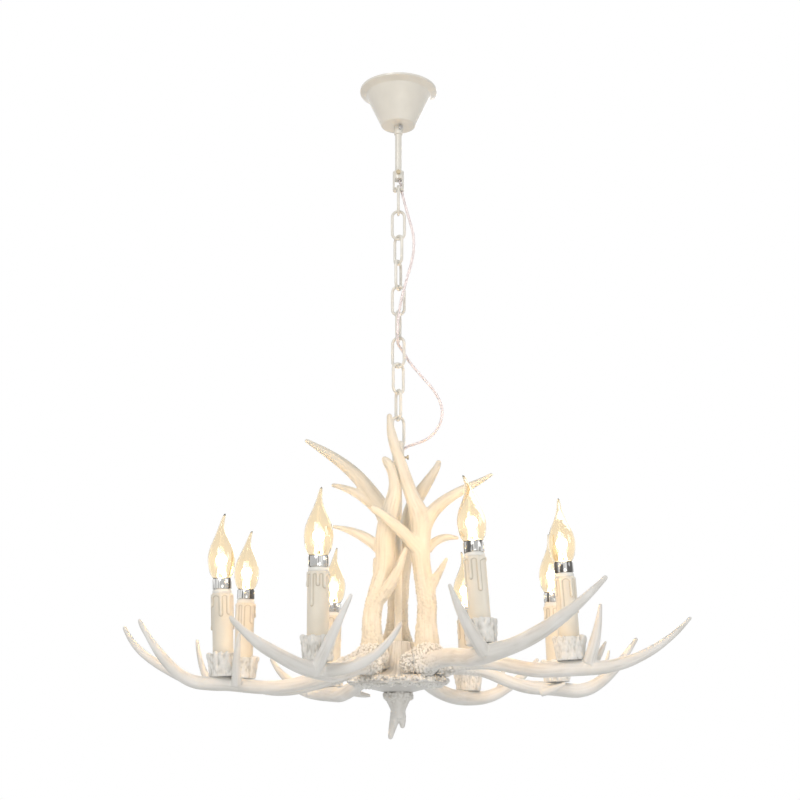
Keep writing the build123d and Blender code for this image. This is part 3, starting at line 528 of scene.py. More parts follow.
def polished(name, dark_reflection, bright, roughness):
    """Polished plating with painted reflections: dark and bright upright bands in its colour, which also bump
    it.
    """
    paint = Paint(name, bright, roughness, 1.0)
    # Painted reflections: dark, bright and dimmer bands standing in for what the plating reflects.
    painted_reflection_and_rib_bands = paint.noise(190, 1, 0.4, (1, 1, 0.04))
    dimmer = tuple(0.6 * part for part in bright)
    paint.feed(paint.ramp(painted_reflection_and_rib_bands, (0.4, dark_reflection), (0.5, bright), (0.6, dimmer)), "Base Color")
    paint.feed(paint.range(paint.noise(600, detail=2), roughness - 0.05, roughness + 0.08), "Roughness")
    paint.raised(painted_reflection_and_rib_bands, 0.0005, 0.5)
    return paint.material


def clear(name, tint, roughness, bump_scale, bump_depth, ior=1.45, halo=0.0):
    """Glass or clear plastic that lets lamp light through, with a painted glow (halo) that follows the number
    kept for each vertex.
    """
    paint = Paint(name, tint, roughness)
    paint.set("Transmission Weight", 1.0)
    paint.set("IOR", ior)
    paint.raised(paint.noise(bump_scale, 1.0), bump_depth, 0.5)
    # Painted glow: the glass itself emits where the kept number is high.
    if halo:
        paint.set("Emission Color", BULB_HALO)
        paint.feed(paint.range(paint.painted_light_and_shade(), 0.0, halo), "Emission Strength")
    ray = paint.tree.nodes.new("ShaderNodeLightPath")
    straight = paint.tree.nodes.new("ShaderNodeBsdfTransparent")
    straight.inputs["Color"].default_value = GLASS_SHADOW
    either = paint.tree.nodes.new("ShaderNodeMixShader")
    paint.link(ray.outputs["Is Shadow Ray"], either.inputs[0])
    paint.link(paint.shader.outputs[0], either.inputs[1])
    paint.link(straight.outputs[0], either.inputs[2])
    paint.link(either.outputs[0], paint.tree.nodes["Material Output"].inputs["Surface"])
    return paint.material


def lit(name, colour, strength):
    """A glowing surface, brighter in patches."""
    paint = Paint(name, colour, 0.4)
    paint.set("Emission Color", (*colour, 1))
    paint.feed(paint.range(paint.noise(600), 0.8 * strength, 1.2 * strength), "Emission Strength")
    return paint.material


ANTLER = resin("antler_resin", (0.6, 0.58, 0.54), (0.8, 0.785, 0.755), (0.87, 0.86, 0.84), 0.45)
# The uprights' resin is tinted warm: the bulbs' light painted into its colour.
WARM_LIT_RESIN = resin("upright_resin_painted_bulb_light", (0.6, 0.56, 0.48), (0.8, 0.75, 0.645), (0.87, 0.83, 0.745), 0.45)
BARK = resin("bark_resin", (0.5, 0.48, 0.44), (0.82, 0.81, 0.78), (0.92, 0.91, 0.89), 0.5)
CREAM = enamel("cream_paint", (0.8, 0.77, 0.695), 0.3, 0.55)
# The hub cover's paint is greyer than the cream: painted shade for the dish's underside.
SHADE_GREY_COVER = enamel("cover_paint", (0.68, 0.665, 0.635), 0.45)
WAX = resin("candle_wax", (0.54, 0.47, 0.37), (0.83, 0.77, 0.66), (0.89, 0.845, 0.76), 0.36)
HOLDER = enamel("holder_plastic", (0.86, 0.84, 0.79), 0.3, 0.3)
SILVER = polished("collar_metal", (0.13, 0.125, 0.12), (0.82, 0.81, 0.79), 0.14)
BRASS = metal("brass_screw", (0.5, 0.42, 0.29), 0.28, (1, 1, 5))
STEEL = metal("zinc_steel", (0.58, 0.59, 0.61), 0.32, (3, 3, 1))
GLASS = clear("bulb_glass", (0.935, 0.845, 0.69), 0.02, 150, 0.0003, halo=0.035)
SHEATH = clear("cord_sheath", (0.92, 0.89, 0.895), 0.12, 300, 0.0001, 1.38)
STRAND = enamel("cord_strand", (0.74, 0.68, 0.675), 0.35, 0.2)
GLOW = lit("bulb_glow", (1.0, 0.83, 0.55), 20.0)
FILAMENT = lit("bulb_filament", (1.0, 0.8, 0.48), 9.0)


# ---------------------------------------------------------------- antlers
# Sizes and depths of the carving, in mm.
ANTLER_VOXEL = 1.15
ANTLER_ROUNDING = 9
LINE_PITCH = 2.0
THIN_LIMB = 2.5
LIMB_BLEND = 1.6
GROOVE_WIDTH, GROOVE_LENGTH, GROOVE_DEPTH = 2.2, 26.0, 0.26
HAIR_WIDTH, HAIR_LENGTH, HAIR_DEPTH = 1.1, 14.0, 0.1
SWELL_SIZE, SWELL_DEPTH = 24.0, 0.5
PEARL_SIZE, PEARL_BEND, PEARL_MIDDLE = 3.0, 2.2, 0.52
ARM_CRUST_RUN, ARM_CRUST_HEIGHT = 66.0, 1.5
UPRIGHT_CRUST_RUN, UPRIGHT_CRUST_HEIGHT = 150.0, 2.1
CROWN_KNOB, CROWN_HEIGHT, CROWN_SINK = 3.9, 2.9, 1.1
CROWN_EDGE = (18, 25)
TIP_FADE = (0.93, 1.0)       # shares of a limb's length
BURR_RING = lathe(ellipse(13.8, 0, 3.6, 4.4, 26), 150)


def limb_line(stations):
    """Smooth curve through the stations: points, radii, directions, a steady side direction and run."""
    points = np.array([station[:3] for station in stations], float)
    sizes = np.array([station[3] for station in stations], float) / 2
    steps = np.linalg.norm(np.diff(points, axis=0), axis=1)
    runs = np.concatenate([[0], np.cumsum(steps)])
    padded = np.vstack([2 * points[0] - points[1], points, 2 * points[-1] - points[-2]])
    line, radii = [], []
    for index in range(len(points) - 1):
        before, start, end, after = padded[index:index + 4]
        for share in np.arange(0, 1, LINE_PITCH / steps[index]):
            square, cube = share ** 2, share ** 3
            line.append(0.5 * (
                2 * start + (end - before) * share + (2 * before - 5 * start + 4 * end - after) * square
                + (3 * start - before - 3 * end + after) * cube))
            radii.append(np.interp(runs[index] + share * steps[index], runs, sizes))
    line = np.array(line + [points[-1]])
    radii = np.array(radii + [sizes[-1]])
    along = np.gradient(line, axis=0)
    along /= np.linalg.norm(along, axis=1)[:, None]
    side = np.cross(along[0], (0.3, 0.2, 1.0))
    sides = []
    for direction in along:
        side = side - direction * side.dot(direction)
        side = side / np.linalg.norm(side)
        sides.append(side)
    run = np.concatenate([[0], np.cumsum(np.linalg.norm(np.diff(line, axis=0), axis=1))])
    return line, radii, along, np.array(sides), run


def limb_field(points, limbs):
    """For each point (mm): grooves and hair blended over the limbs, its run on the first limb, and how far
    out it is as a share of its limb's length."""
    total = np.zeros(len(points))
    grain = np.zeros(len(points))
    fine = np.zeros(len(points))
    tip_share = np.zeros(len(points))
    for order, stations in enumerate(limbs):
        line, radii, along, sides, run = limb_line(stations)
        nearest = np.zeros(len(points), int)
        gap = np.full(len(points), 1e9)
        for index in range(len(line)):
            away = np.linalg.norm(points - line[index], axis=1)
            closer = away < gap
            nearest[closer] = index
            gap[closer] = away[closer]
        offset = points - line[nearest]
        normal = np.cross(along[nearest], sides[nearest])
        across = np.stack([(offset * sides[nearest]).sum(1), (offset * normal).sum(1)], axis=1)
        ring = across / np.maximum(np.hypot(across[:, 0], across[:, 1]), 0.5)[:, None]
        place = run[nearest]
        girth = np.maximum(radii[nearest], THIN_LIMB)[:, None]
        groove = np.column_stack([ring * girth / GROOVE_WIDTH, place / GROOVE_LENGTH + 40 * order])
        hair = np.column_stack([ring * girth / HAIR_WIDTH, place / HAIR_LENGTH + 60 * order])
        weight = np.exp(-np.clip(gap - radii[nearest], 0, 60) / LIMB_BLEND) + 1e-6
        total += weight
        grain += weight * smooth_noise(groove, seed=3)
        fine += weight * smooth_noise(hair, seed=9)
        tip_share += weight * place / run[-1]
        if order == 0:
            root_run = place
    return grain / total, fine / total, root_run, tip_share / total


def antler(name, node, limbs, turn, crust_run, crust_height, burr_at=None):
    """An antler carved from its CAD solid: grooves along it, pearls near its root and a knobbed burr, with
    painted shade in the grooves and between pearls and knobs and painted highlights on their tops.
    Its limbs' x runs towards the azimuth turn, or towards the lamp's own x where turn is None."""
    piece = cast(name, node, ANTLER_VOXEL, ANTLER_ROUNDING)
    world = in_mm(piece)
    local = world - (0, 0, HUB_Z)
    if turn is not None:
        angle = math.radians(turn)
        outward = np.array((math.sin(angle), -math.cos(angle), 0))
        sideways = np.array((math.cos(angle), math.sin(angle), 0))
        local = np.stack([local @ outward, local @ sideways, local[:, 2]], axis=1)
    grain, fine, run, tip = limb_field(local, limbs)
    swell = smooth_noise(local / SWELL_SIZE, seed=21)
    heights = GROOVE_DEPTH * (1 - 0.6 * tip) * grain + HAIR_DEPTH * fine + SWELL_DEPTH * swell * (1 - tip)
    # Painted shade in the grooves, painted highlights on the ridges between them.
    painted_light_and_shade = 0.5 + 0.32 * grain + 0.16 * fine
    waves = np.stack([smooth_noise(world / 5, seed=81 + axis) for axis in range(3)], axis=1)
    pearl = pebbles((world + PEARL_BEND * waves) / PEARL_SIZE, seed=5)
    sparse = eased(smooth_noise(world / 9, seed=7), -0.5, 0.3)
    near = (1 - eased(run + 12 * swell, 0.35 * crust_run, crust_run)) * (0.35 + 0.65 * sparse)
    heights += crust_height * near * (pearl - PEARL_MIDDLE)
    # Painted shade between the pearls, painted highlights on them.
    painted_light_and_shade += 0.28 * near * (pearl - 0.5)
    if burr_at is not None:
        knob = pebbles(world / CROWN_KNOB, seed=12)
        crown = 1 - eased(np.linalg.norm(world - burr_at, axis=1), *CROWN_EDGE)
        heights += crown * (CROWN_HEIGHT * knob - CROWN_SINK)
        # Painted glints on the burr's knobs, painted shade between them.
        painted_light_and_shade += crown * 1.5 * (knob - 0.5)
    heights *= 1 - eased(tip, *TIP_FADE)
    carve(piece, heights, painted_light_and_shade)
    return piece


def arm(number):
    """One arm: its beam over the candle's seat, and its tines."""
    rise = CANDLE_RISE[number]
    side, thick = ARM_SEAT[number]
    outer, *tines = [[(CANDLE_REACH + x, y, rise + z, size) for x, y, z, size in stations]
                     for stations in [ARM_OUTER[number]] + ARM_TINES[number]]
    beam = ARM_INNER[number] + [(CANDLE_REACH, side, rise - SEAT_SINK * thick, thick)] + outer
    piece = antler(f"antler_arm_{number}", f"arm_antler_{number}", [beam] + tines, CANDLE_AZIMUTH[number],
                   ARM_CRUST_RUN, ARM_CRUST_HEIGHT, np.array(around(ROOT_AZIMUTH[number], BURR_PLACE)))
    finish_piece(piece, ANTLER, "fixture", [f"arm_antler_{number}"])


def burr(number):
    """The ring of knobs round an arm's root."""
    piece = joined(f"burr_{number}", [(BURR_RING, facing_out(ROOT_AZIMUTH[number], BURR_PLACE))])
    knobbed(piece, size=3.3, seed=110 + number, height=2.3, sink=0.9)
    finish_piece(piece, BARK, "fixture")


# Pearled mounds between the roots, by azimuth, radius and height in mm.
MOUNDS = [(-82, 12, 0), (-43, 13.5, -1), (20, 14.5, 1), (60, 12, -2), (101, 12, 0), (140, 13, 0),
          (-176, 13, 0), (-135, 12, 0)]
MOUND_REACH = 45.0
# Their outline for a radius of 1.
DOME = [(0.015, 0.73), (0.15, 0.72), (0.3, 0.7), (0.55, 0.6), (0.78, 0.44), (0.94, 0.22), (1.0, -0.05),
        (0.94, -0.35), (0.6, -0.5), (0.015, -0.53)]
DOME_RISE = 3.0
DOME_MARGIN = 7.0


def root_mounds():
    """Mounds of pearls between the arms' roots and under the uprights."""
    dome = lathe(DOME, 120)
    mounds = []
    for azimuth, radius, rise in MOUNDS:
        mounds.append((dome, facing_out(azimuth, MOUND_REACH, rise) @ Matrix.Scale(radius, 4)))
    for limbs in UPRIGHTS.values():
        x, y, rise, thick = limbs[0][0]
        place = Matrix.Translation((x, y, HUB_Z + rise + DOME_RISE))
        mounds.append((dome, place @ Matrix.Scale(DOME_MARGIN + 0.45 * thick, 4)))
    piece = joined("root_mounds", mounds)
    piece.modifiers.new("finer", "SUBSURF").levels = 2
    knobbed(settled(piece), size=2.7, seed=131, height=1.9, sink=0.7)
    finish_piece(piece, BARK, "fixture")


def upright(number):
    """One upright antler, pearled along its lower half."""
    piece = antler(f"antler_upright_{number}", f"upright_antler_{number}", UPRIGHTS[number], None,
                   UPRIGHT_CRUST_RUN, UPRIGHT_CRUST_HEIGHT)
    finish_piece(piece, WARM_LIT_RESIN, "fixture", [f"upright_antler_{number}"])


for number in ARM_INNER:
    arm(number)
for number in ROOT_AZIMUTH:
    burr(number)
root_mounds()
for number in UPRIGHTS:
    upright(number)


# ---------------------------------------------------------------- hub and finial
# Where a form fades in or out, in mm: by the distance from the axis, but RIM_FACE by the height over the
# hub's level, and the finial's crown and prongs by the drop under it.
SKIRT_EDGE = (13.5, 15.0)
RIM_FACE = (-19.6, -17.5)
LACE_EDGE = (53, 60)
CROWN_FADE = (43, 54)
PRONG_FADE = (62, 84)


def hub_bell():
    """The flared casting, ribbed on its skirt and pearled at its rim, with painted shade and highlight along
    the ribs' streaks, which run on over the rest of the bell, and on the pearls.
    """
    piece = cast("hub_bell", "hub_casting", 1.2, 3)
    world = in_mm(piece)
    local = world - (0, 0, HUB_Z)
    reach = np.hypot(world[:, 0], world[:, 1])
    skirt = eased(reach, *SKIRT_EDGE) * eased(local[:, 2], *RIM_FACE)
    streak = ring_noise(local, 11, 40, seed=31)
    hair = ring_noise(local, 26, 16, seed=37)
    pearl = pebbles(world / 3.6, seed=41)
    lace = eased(reach + 3 * smooth_noise(world / 7, seed=43), *LACE_EDGE)
    heights = skirt * (0.75 * streak + 0.35 * hair) + lace * (3.2 * pearl - 1.4)
    # Painted shade and highlight along the streaks and on the rim's pearls.
    carve(piece, heights, 0.5 + 0.35 * streak + 0.2 * hair + lace * 0.8 * (pearl - 0.5))
    finish_piece(piece, BARK, "fixture", ["hub_casting"])


def hub_lace():
    """The ruffled, pearled edge of the casting's rim, with painted shade between the pearls and painted
    highlights on them.
    """
    ring = lathe(ellipse(54.5, -23.2, 5.2, 4.6, 28), 420)
    piece = joined("hub_lace", [(ring, Matrix.Translation((0, 0, HUB_Z)))])
    world = in_mm(piece)
    ruffle = ring_noise(world, 9, 30, seed=91)
    pearl = pebbles(world / 2.9, seed=93)
    # Painted shade between the pearls, painted highlights on them.
    carve(piece, 2.6 * pearl - 1.3 + 1.4 * ruffle, 0.5 + 0.8 * (pearl - 0.5) + 0.15 * ruffle)
    finish_piece(piece, BARK, "fixture")


def finial_antler():
    """The finial: a pearled knob and a streaked, forked tip, with painted shade in their hollows and painted
    highlights on the raised parts.
    """
    piece = cast("finial_antler", "finial", 0.9, 7)
    world = in_mm(piece)
    drop = HUB_Z - world[:, 2]
    streak = ring_noise(np.column_stack([world[:, :2], drop]), 5, 26, seed=51)
    pearl = pebbles(world / 3.8, seed=53)
    crown = 1 - eased(drop, *CROWN_FADE)
    prong = 0.45 * streak + 0.5 * (pearl - 0.4) * (1 - eased(drop, *PRONG_FADE))
    heights = crown * (2.0 * pearl - 0.9) + (1 - crown) * prong
    # Painted shade in the streaks' hollows and between the pearls, painted highlights on them.
    carve(piece, heights, 0.5 + 0.3 * streak + 0.6 * crown * (pearl - 0.5))
    finish_piece(piece, ANTLER, "fixture", ["finial"])


hub_bell()
hub_lace()
finial_antler()


# ---------------------------------------------------------------- candles
# A cup lies within this reach and these heights of its candle.
CUP_BOUND, CUP_MIDDLE, CUP_HALF = 26.0, 14.0, 20.0
CUP_OUTSIDE = 16.2           # the bark is on what is further out than this
BARK_RANGE = (-1.6, 2.4)
WAX_STEPS, WAX_LEVELS = 168, 150
WAX_FOOT = CUP_FLOOR + 1.0
RIM_ROUND, RIM_DEPTH = 0.9, 1.2
WAX_THICK, DRIP_THICK, BEAD_THICK = 0.9, 0.6, 0.7
ARCH_TOP, ARCH_HEIGHT, DRIP_ROUND = 3.4, 9.0, 2.4
# Angles (radians) and lengths (mm) that the wax drips are drawn from.
DRIP_HALF_WIDTH = (0.13, 0.2)
DRIP_LENGTH = (14, 46)
DRIP_SPACING = (0.55, 1.15)


def bark_cups():
    """The eight cups, with ridged and cracked bark outside, with painted shade in the cracks and hollows and
    painted highlights on the ridges and lumps.
    """
    piece = cast("bark_cups", "candle_cups", 0.8, 1)
    world = in_mm(piece)
    heights = np.zeros(len(world))
    painted_light_and_shade = np.full(len(world), 0.5)
    for number in CANDLE_AZIMUTH:
        place = np.array(candle_place(number).inverted())
        local = world @ place[:3, :3].T + place[:3, 3]
        reach = np.hypot(local[:, 0], local[:, 1])
        wall = (reach < CUP_BOUND) & (np.abs(local[:, 2] - CUP_MIDDLE) < CUP_HALF) & (reach > CUP_OUTSIDE)
        ridge = ring_noise(local, 5.2, 13, seed=61, shift=9 * number)
        crack = ring_noise(local, 14, 5, seed=67, shift=5 * number)
        lumps = pebbles(local / 5.5, seed=71 + number)
        flare = eased(local[:, 2], 15.0, 27.0)
        bark = 0.9 * ridge + 0.7 * crack + 0.9 * (lumps - 0.4) + 1.3 * flare * (0.5 + ridge)
        foot = eased(local[:, 2], 0.5, 3.0)
        heights[wall] = (np.clip(bark, *BARK_RANGE) * foot)[wall]
        # Painted shade in the bark's cracks and hollows, painted highlights on its ridges and lumps.
        painted_light_and_shade[wall] = (0.5 + 0.3 * ridge + 0.22 * crack + 0.25 * (lumps - 0.4))[wall]
    carve(piece, heights, painted_light_and_shade)
    finish_piece(piece, BARK, "fixture", ["candle_cups"])


def wax_edge(angles, number):
    """How far below the rim the wax reaches at each angle (mm), and how near the middle of a drip it is."""
    dice = random.Random(100 + number)
    drips = []
    angle = dice.uniform(0, 0.6)
    while angle < 2 * math.pi - 0.35:
        drips.append((angle, dice.uniform(*DRIP_HALF_WIDTH), dice.uniform(*DRIP_LENGTH)))
        angle += dice.uniform(*DRIP_SPACING)
    edge = np.full(len(angles), 4.0)
    middle = np.zeros(len(angles))
    for (start, _, _), (end, _, _) in zip(drips, drips[1:] + drips[:1]):
        gap = (end - start) % (2 * math.pi)
        away = (angles - start) % (2 * math.pi)
        share = 2 * away / gap - 1
        arch = ARCH_TOP + ARCH_HEIGHT * (1 - np.sqrt(np.clip(1 - share ** 2, 0, 1)))
        inside = away < gap
        edge[inside] = arch[inside]
    for centre, width, length in drips:
        away = np.abs((angles - centre + math.pi) % (2 * math.pi) - math.pi) / width
        drip = away < 1
        edge[drip] = length - DRIP_ROUND * (1 - np.sqrt(1 - away[drip] ** 2))
        middle[drip] = 1 - away[drip] ** 2
    return edge, middle


def sleeve(number):
    """A candle tube with arched wax edges and drips below its rim, with painted shade on the wax's steep
    edges and in its bore and painted highlights on the thick wax.
    """
    angles = 2 * math.pi * np.arange(WAX_STEPS) / WAX_STEPS
    edge, middle = wax_edge(angles, number)
    heights = WAX_FOOT + (SLEEVE_TOP - WAX_FOOT) * np.arange(WAX_LEVELS + 1) / WAX_LEVELS
    below = (SLEEVE_TOP - heights)[:, None]
    bead = middle * eased(below, edge - 8, edge - 3)
    thick = WAX_THICK + DRIP_THICK * middle + BEAD_THICK * bead
    thick = thick * (1 - eased(below, edge - 0.8, edge + 0.3))
    thick = (np.roll(thick, 1, 1) + 2 * thick + np.roll(thick, -1, 1)) / 4
    # Painted shade on the steep edges of the wax, painted highlights where it is thick.
    slope = np.hypot(np.roll(thick, 1, 1) - np.roll(thick, -1, 1), np.gradient(thick, axis=0) * 1.2)
    shade = 0.46 + 0.25 * thick - 0.75 * np.clip(slope, 0, 0.6)
    radius = SLEEVE_RADIUS - 0.02 + thick - RIM_ROUND * np.clip(1 - below / RIM_DEPTH, 0, 1)
    bore = np.full(WAX_STEPS, SLEEVE_RADIUS - SLEEVE_WALL)
    levels = list(zip(heights, radius)) + [(SLEEVE_TOP, bore), (WAX_FOOT, bore)]
    shell = bmesh.new()
    rings = [[shell.verts.new((reach * math.cos(angle), reach * math.sin(angle), height))
              for reach, angle in zip(ring, angles)] for height, ring in levels]
    skin(shell, rings + rings[:1])
    mesh = freed_mesh(shell, "sleeve")
    # The bore's rings take a little painted shade.
    keep_painted_light_and_shade(mesh, np.concatenate([shade.ravel(), np.full(2 * WAX_STEPS, 0.4)]))
    return mesh


bark_cups()
piece = joined("wax_sleeves", [(sleeve(number), candle_place(number)) for number in CANDLE_AZIMUTH])
finish_piece(piece, WAX, "fixture", ["candle_sleeves"])

HOLDER_OUTLINE = [
    (6.0, 16.0), (6.0, 60.0), (11.0, 62.0), (11.0, SLEEVE_TOP - 0.2), (12.0, SLEEVE_TOP),
    (12.25, SLEEVE_TOP + 0.7), (12.25, SLEEVE_TOP + 3.4), (11.8, SLEEVE_TOP + 4.8), (10.9, SLEEVE_TOP + 5.5),
    (7.2, SLEEVE_TOP + 5.5), (7.2, SLEEVE_TOP - 22), (4.2, SLEEVE_TOP - 24), (4.2, 16.0),
]
holder = lathe(HOLDER_OUTLINE)
piece = joined("holder_necks", [(holder, candle_place(number)) for number in CANDLE_AZIMUTH])
finish_piece(piece, HOLDER, "fixture", ["lampholders"])


# ---------------------------------------------------------------- bulbs
COLLAR_TOP = BULB_FOOT + 13.0
COLLAR_OUTLINE = [
    (6.6, BULB_FOOT - 22), (6.9, BULB_FOOT - 20), (6.9, BULB_FOOT - 0.5), (11.6, BULB_FOOT),
    (12.25, BULB_FOOT + 0.8), (12.25, COLLAR_TOP - 0.9), (11.9, COLLAR_TOP - 0.2), (10.6, COLLAR_TOP),
    (10.2, COLLAR_TOP - 1.5), (3.2, COLLAR_TOP - 1), (2.2, COLLAR_TOP + 6), (0.5, COLLAR_TOP + 9),
    (0.3, BULB_FOOT - 23),
]
# Outside of the glass: (radius, height over the collar).
FLAME = [(10.4, 0), (11.9, 2), (14.2, 6), (15.6, 10), (16.8, 16), (17.45, 23), (17.2, 29), (15.9, 36),
         (13.6, 42.5), (10.9, 48.5), (8.2, 54.5), (6.0, 60), (4.4, 65), (3.3, 70), (2.7, 75), (2.2, 79),
         (1.5, 82.3), (0.4, 83.6)]
GLASS_WALL = 0.9
GLASS_STEPS = 72
BEND_FROM, BEND_RUN, BEND = 56.0, 27.0, 5.6
# Height and spread of the glow painted on the glass, in mm.
HALO_RISE, HALO_SPREAD = 23.0, 15.0
GLOW_RISE = 24.0
CORE = lathe([(0.2, -7.6), (3.4, -6.9), (6.0, -4.7), (7.5, 0), (6.0, 4.7), (3.4, 6.9), (0.2, 7.6)], 24)
ROD = lathe([(0.1, 0), (0.75, 0.6), (0.9, 2), (0.9, 17), (0.7, 18.4), (0.1, 19)], 12)
ROD_COUNT, ROD_RISE, ROD_REACH, ROD_SLANT = 4, 3.0, 5.6, -11.0


def tip_bend(turn):
    """Carries the flame's tip sideways, away from its axis."""
    side = Vector((math.cos(math.radians(turn)), math.sin(math.radians(turn)), 0))

    def shape(point):
        over = max(0.0, point.z - COLLAR_TOP - BEND_FROM) / BEND_RUN
        return point + side * (BEND * over ** 2)

    return shape


def flame_glass(turn):
    """The glass, with a painted glow kept for each vertex, strongest at the height of the bulb's glow."""
    outer = [(radius, COLLAR_TOP + height) for radius, height in FLAME]
    inner = [(max(radius - GLASS_WALL, 0.15), COLLAR_TOP + height - (0.5 if height > 60 else 0))
             for radius, height in FLAME[:-2]]
    mesh = lathe(outer + inner[::-1], GLASS_STEPS, tip_bend(turn))
    # Painted glow on the glass, fading away from the height of the bulb's glow.
    over = per_vertex(mesh, "co")[:, 2] - COLLAR_TOP - HALO_RISE
    keep_painted_light_and_shade(mesh, np.exp(-(over / HALO_SPREAD) ** 2))
    return mesh


def bulb_light(name, body, place):
    """The warm light in a bulb, which rides on it."""
    light = bpy.data.lights.new(name, "POINT")
    light.energy = BULB_POWER
    light.color = BULB_COLOUR
    light.shadow_soft_size = BULB_LIGHT_RADIUS
    lamp = add_object(name, light)
    lamp.location = place
    lamp.visible_camera = False
    lamp.visible_glossy = False
    lamp.visible_transmission = False
    lamp.parent = frame["bodies"][body]


def bulb(number):
    """One lit bulb: glass, collar, filaments, glow and light."""
    place = candle_place(number)
    body = f"bulb_{number}"
    glass = joined(f"flame_{number}", [(flame_glass(FLAME_TURN[number]), place)])
    finish_piece(glass, GLASS, body, [f"bulb_{number}_glass"])
    collar = joined(f"collar_{number}", [(lathe(COLLAR_OUTLINE), place)])
    finish_piece(collar, SILVER, body, [f"bulb_{number}_base"])
    rods = []
    for step in range(ROD_COUNT):
        turn = Matrix.Rotation(math.radians(360 / ROD_COUNT * step + 20 * number), 4, "Z")
        slant = Matrix.Rotation(math.radians(ROD_SLANT), 4, "Y")
        foot = place @ Matrix.Translation((0, 0, COLLAR_TOP + ROD_RISE)) @ turn
        rods.append((ROD, foot @ Matrix.Translation((ROD_REACH, 0, 0)) @ slant))
    finish_piece(joined(f"filament_{number}", rods), FILAMENT, body)
    middle = (0, 0, COLLAR_TOP + GLOW_RISE)
    core = joined(f"glow_{number}", [(CORE, place @ Matrix.Translation(middle))])
    finish_piece(core, GLOW, body)
    bulb_light(f"bulb_light_{number}", body, (place @ Vector(middle)) * MM)


for number in CANDLE_AZIMUTH:
    bulb(number)


# ---------------------------------------------------------------- cover studs
STUD = lathe([(0.2, 2.2), (1.6, 1.8), (2.7, 0.6), (2.9, -0.6), (0.2, -0.8)], 20)
STUD_COUNT = 16
STUD_REACH = 46.0
# The dish runs down by its drop from its seat's inner edge to its flat middle.
COVER_SEAT_REACH, COVER_SEAT_DROP, COVER_FLAT, COVER_DROP, COVER_THICK = 58.0, 22.0, 20.0, 9.5, 2.5


def cover_studs():
    """A ring of small beads under the dish."""
    share = (COVER_SEAT_REACH - STUD_REACH) / (COVER_SEAT_REACH - COVER_FLAT)
    height = HUB_Z - (COVER_SEAT_DROP + COVER_DROP * share + COVER_THICK)
    beads = []
    for step in range(STUD_COUNT):
        angle = 2 * math.pi * (step + 0.5) / STUD_COUNT
        place = Matrix.Translation((STUD_REACH * math.cos(angle), STUD_REACH * math.sin(angle), height))
        beads.append((STUD, place @ Matrix.Rotation(math.pi, 4, "X")))
    finish_piece(joined("cover_studs", beads), HOLDER, "fixture")


cover_studs()


# ---------------------------------------------------------------- cord, in metres
CORD_RADIUS = 0.002
STRAND_OFFSET, STRAND_RADIUS, STRAND_PITCH, STRAND_SIDES = 0.0008, 0.00095, 0.034, 8
STRAND_STEP = 0.0012


def strand(points, phase):
    """A tube that winds round a line of points."""
    along = np.gradient(points, axis=0)
    along /= np.linalg.norm(along, axis=1)[:, None]
    run = np.concatenate([[0], np.cumsum(np.linalg.norm(np.diff(points, axis=0), axis=1))])
    side = np.cross(along[0], (0.2, 0.9, 0.1))
    turns = [2 * math.pi * step / STRAND_SIDES for step in range(STRAND_SIDES)]
    shell = bmesh.new()
    rings = []
    for point, direction, place in zip(points, along, run):
        side = side - direction * side.dot(direction)
        side /= np.linalg.norm(side)
        other = np.cross(direction, side)
        spin = 2 * math.pi * place / STRAND_PITCH + phase
        centre = point + STRAND_OFFSET * (math.cos(spin) * side + math.sin(spin) * other)
        rings.append([
            shell.verts.new(centre + STRAND_RADIUS * (math.cos(turn) * side + math.sin(turn) * other))
            for turn in turns
        ])
    skin(shell, rings)
    shell.faces.new(rings[0][::-1])
    shell.faces.new(rings[-1])
    return freed_mesh(shell, "strand")


line = bpy.data.curves.new("lamp_cord", "CURVE")
line.dimensions = "3D"
spline = line.splines.new("NURBS")
spline.points.add(len(CORD) - 1)
for point, place in zip(spline.points, CORD):
    point.co = (*place, 1)
spline.order_u = 3
spline.use_endpoint_u = True
line.resolution_u = 12
sheath = add_object("lamp_cord", line)
graph = bpy.context.evaluated_depsgraph_get()
thread = bpy.data.meshes.new_from_object(sheath.evaluated_get(graph))
middle = per_vertex(thread, "co")
line.bevel_depth = CORD_RADIUS
line.bevel_resolution = 5

dense = []
for start, end in zip(middle, middle[1:]):
    count = max(1, int(np.linalg.norm(end - start) / STRAND_STEP))
    dense += [start + (end - start) * step / count for step in range(count)]
dense = np.array(dense + [middle[-1]])
twist = joined("cord_strands", [(strand(dense, phase), Matrix.Scale(1 / MM, 4)) for phase in (0, math.pi)])
finish_piece(twist, STRAND, "root")
finish_piece(sheath, SHEATH, "root", ["power_cord"])


# ---------------------------------------------------------------- CAD nodes that keep their shape
KEPT = {
    CREAM: ["stem_tube", "upper_loop", "canopy_cup", "canopy_collar", "lower_loop", "centre_pipe"]
    + [f"chain_link_{order:02d}" for order in range(1, 11)],
    BRASS: ["upper_loop_screw", "lower_loop_screw"],
    STEEL: ["ceiling_bracket", "canopy_collar_screw", "arm_studs", "upright_dowels", "hub_core",
            "candle_nipples"],
    SHADE_GREY_COVER: ["hub_cover"],
}
for material, names in KEPT.items():
    for name in names:
        slots = NODES[name].material_slots
        if not slots:
            NODES[name].data.materials.append(material)
        for slot in slots:
            slot.material = material


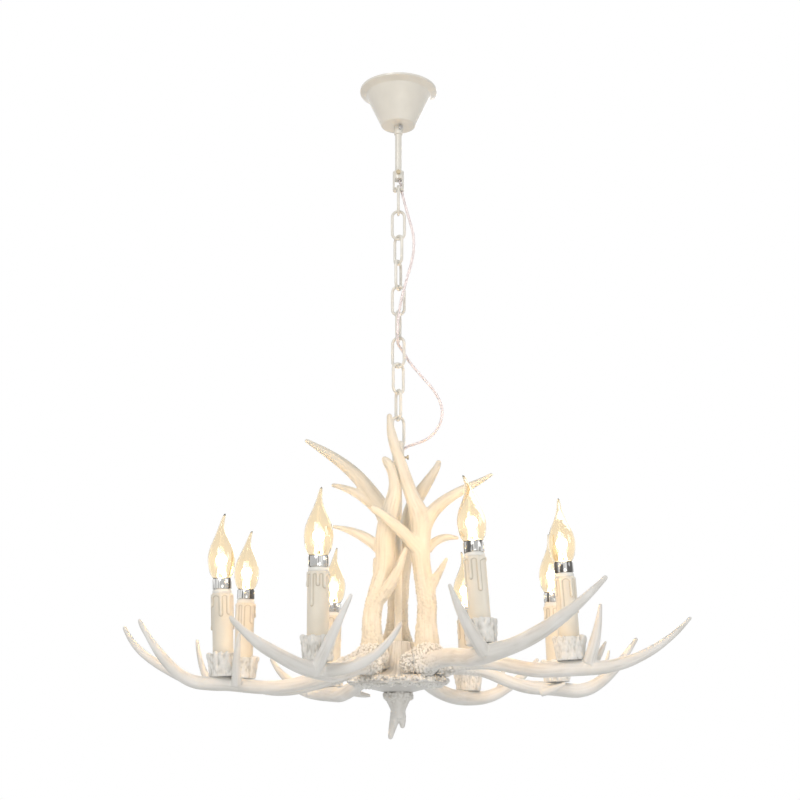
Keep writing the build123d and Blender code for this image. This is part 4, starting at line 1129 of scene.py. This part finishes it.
# ---------------------------------------------------------------- stage, light and camera
def background_rays(tree):
    """1 for the camera, glossy and transmission rays, which show the background, and 0 for all others."""
    rays = tree.nodes.new("ShaderNodeLightPath")
    socket = rays.outputs["Is Camera Ray"]
    for kind in ("Is Glossy Ray", "Is Transmission Ray"):
        either = tree.nodes.new("ShaderNodeMath")
        either.operation = "MAXIMUM"
        tree.links.new(socket, either.inputs[0])
        tree.links.new(rays.outputs[kind], either.inputs[1])
        socket = either.outputs[0]
    return socket


scene = bpy.context.scene
mesh = bpy.data.meshes.new("floor")
mesh.from_pydata([(x * FLOOR_HALF, y * FLOOR_HALF, 0) for x, y in ((-1, -1), (1, -1), (1, 1), (-1, 1))], [],
                 [(0, 1, 2, 3)])
floor = add_object("floor", mesh)
floor.location.z = FLOOR_Z
pale = Paint("floor_paint", (0.82, 0.82, 0.81), 0.7)
pale.feed(pale.ramp(pale.noise(3), (0.4, (0.8, 0.8, 0.79)), (0.6, (0.84, 0.84, 0.83))), "Base Color")
pale.set("Emission Color", (0.8, 0.8, 0.79, 1))
pale.feed(pale.range(background_rays(pale.tree), 0.0, FLOOR_GLOW), "Emission Strength")
floor.data.materials.append(pale.material)

world = bpy.data.worlds.new("studio")
world.use_nodes = True
scene.world = world
tree = world.node_tree
back = tree.nodes["Background"]
back.inputs["Color"].default_value = WORLD_COLOUR
back.inputs["Strength"].default_value = WORLD_STRENGTH
white = tree.nodes.new("ShaderNodeBackground")
white.inputs["Strength"].default_value = 1.0
white.inputs["Color"].default_value = (1, 1, 1, 1)
mixed = tree.nodes.new("ShaderNodeMixShader")
tree.links.new(background_rays(tree), mixed.inputs[0])
tree.links.new(back.outputs[0], mixed.inputs[1])
tree.links.new(white.outputs[0], mixed.inputs[2])
tree.links.new(mixed.outputs[0], tree.nodes["World Output"].inputs["Surface"])

for name, place, target, size, power, colour in LAMPS:
    data = bpy.data.lights.new(name, "AREA")
    data.shape = "DISK"
    data.size = size
    data.energy = power
    data.color = colour
    lamp = add_object(name, data)
    lamp.location = place
    lamp.rotation_euler = (Vector(target) - Vector(place)).to_track_quat("-Z", "Y").to_euler()
    lamp.visible_camera = False

view_data = bpy.data.cameras.new("camera")
view_data.sensor_width = SENSOR_WIDTH
view_data.lens = LENS
camera = add_object("camera", view_data)
camera.location = CAMERA_PLACE
camera.rotation_euler = (math.radians(90 + CAMERA_PITCH), 0, 0)
scene.camera = camera
scene.view_settings.view_transform = "Standard"
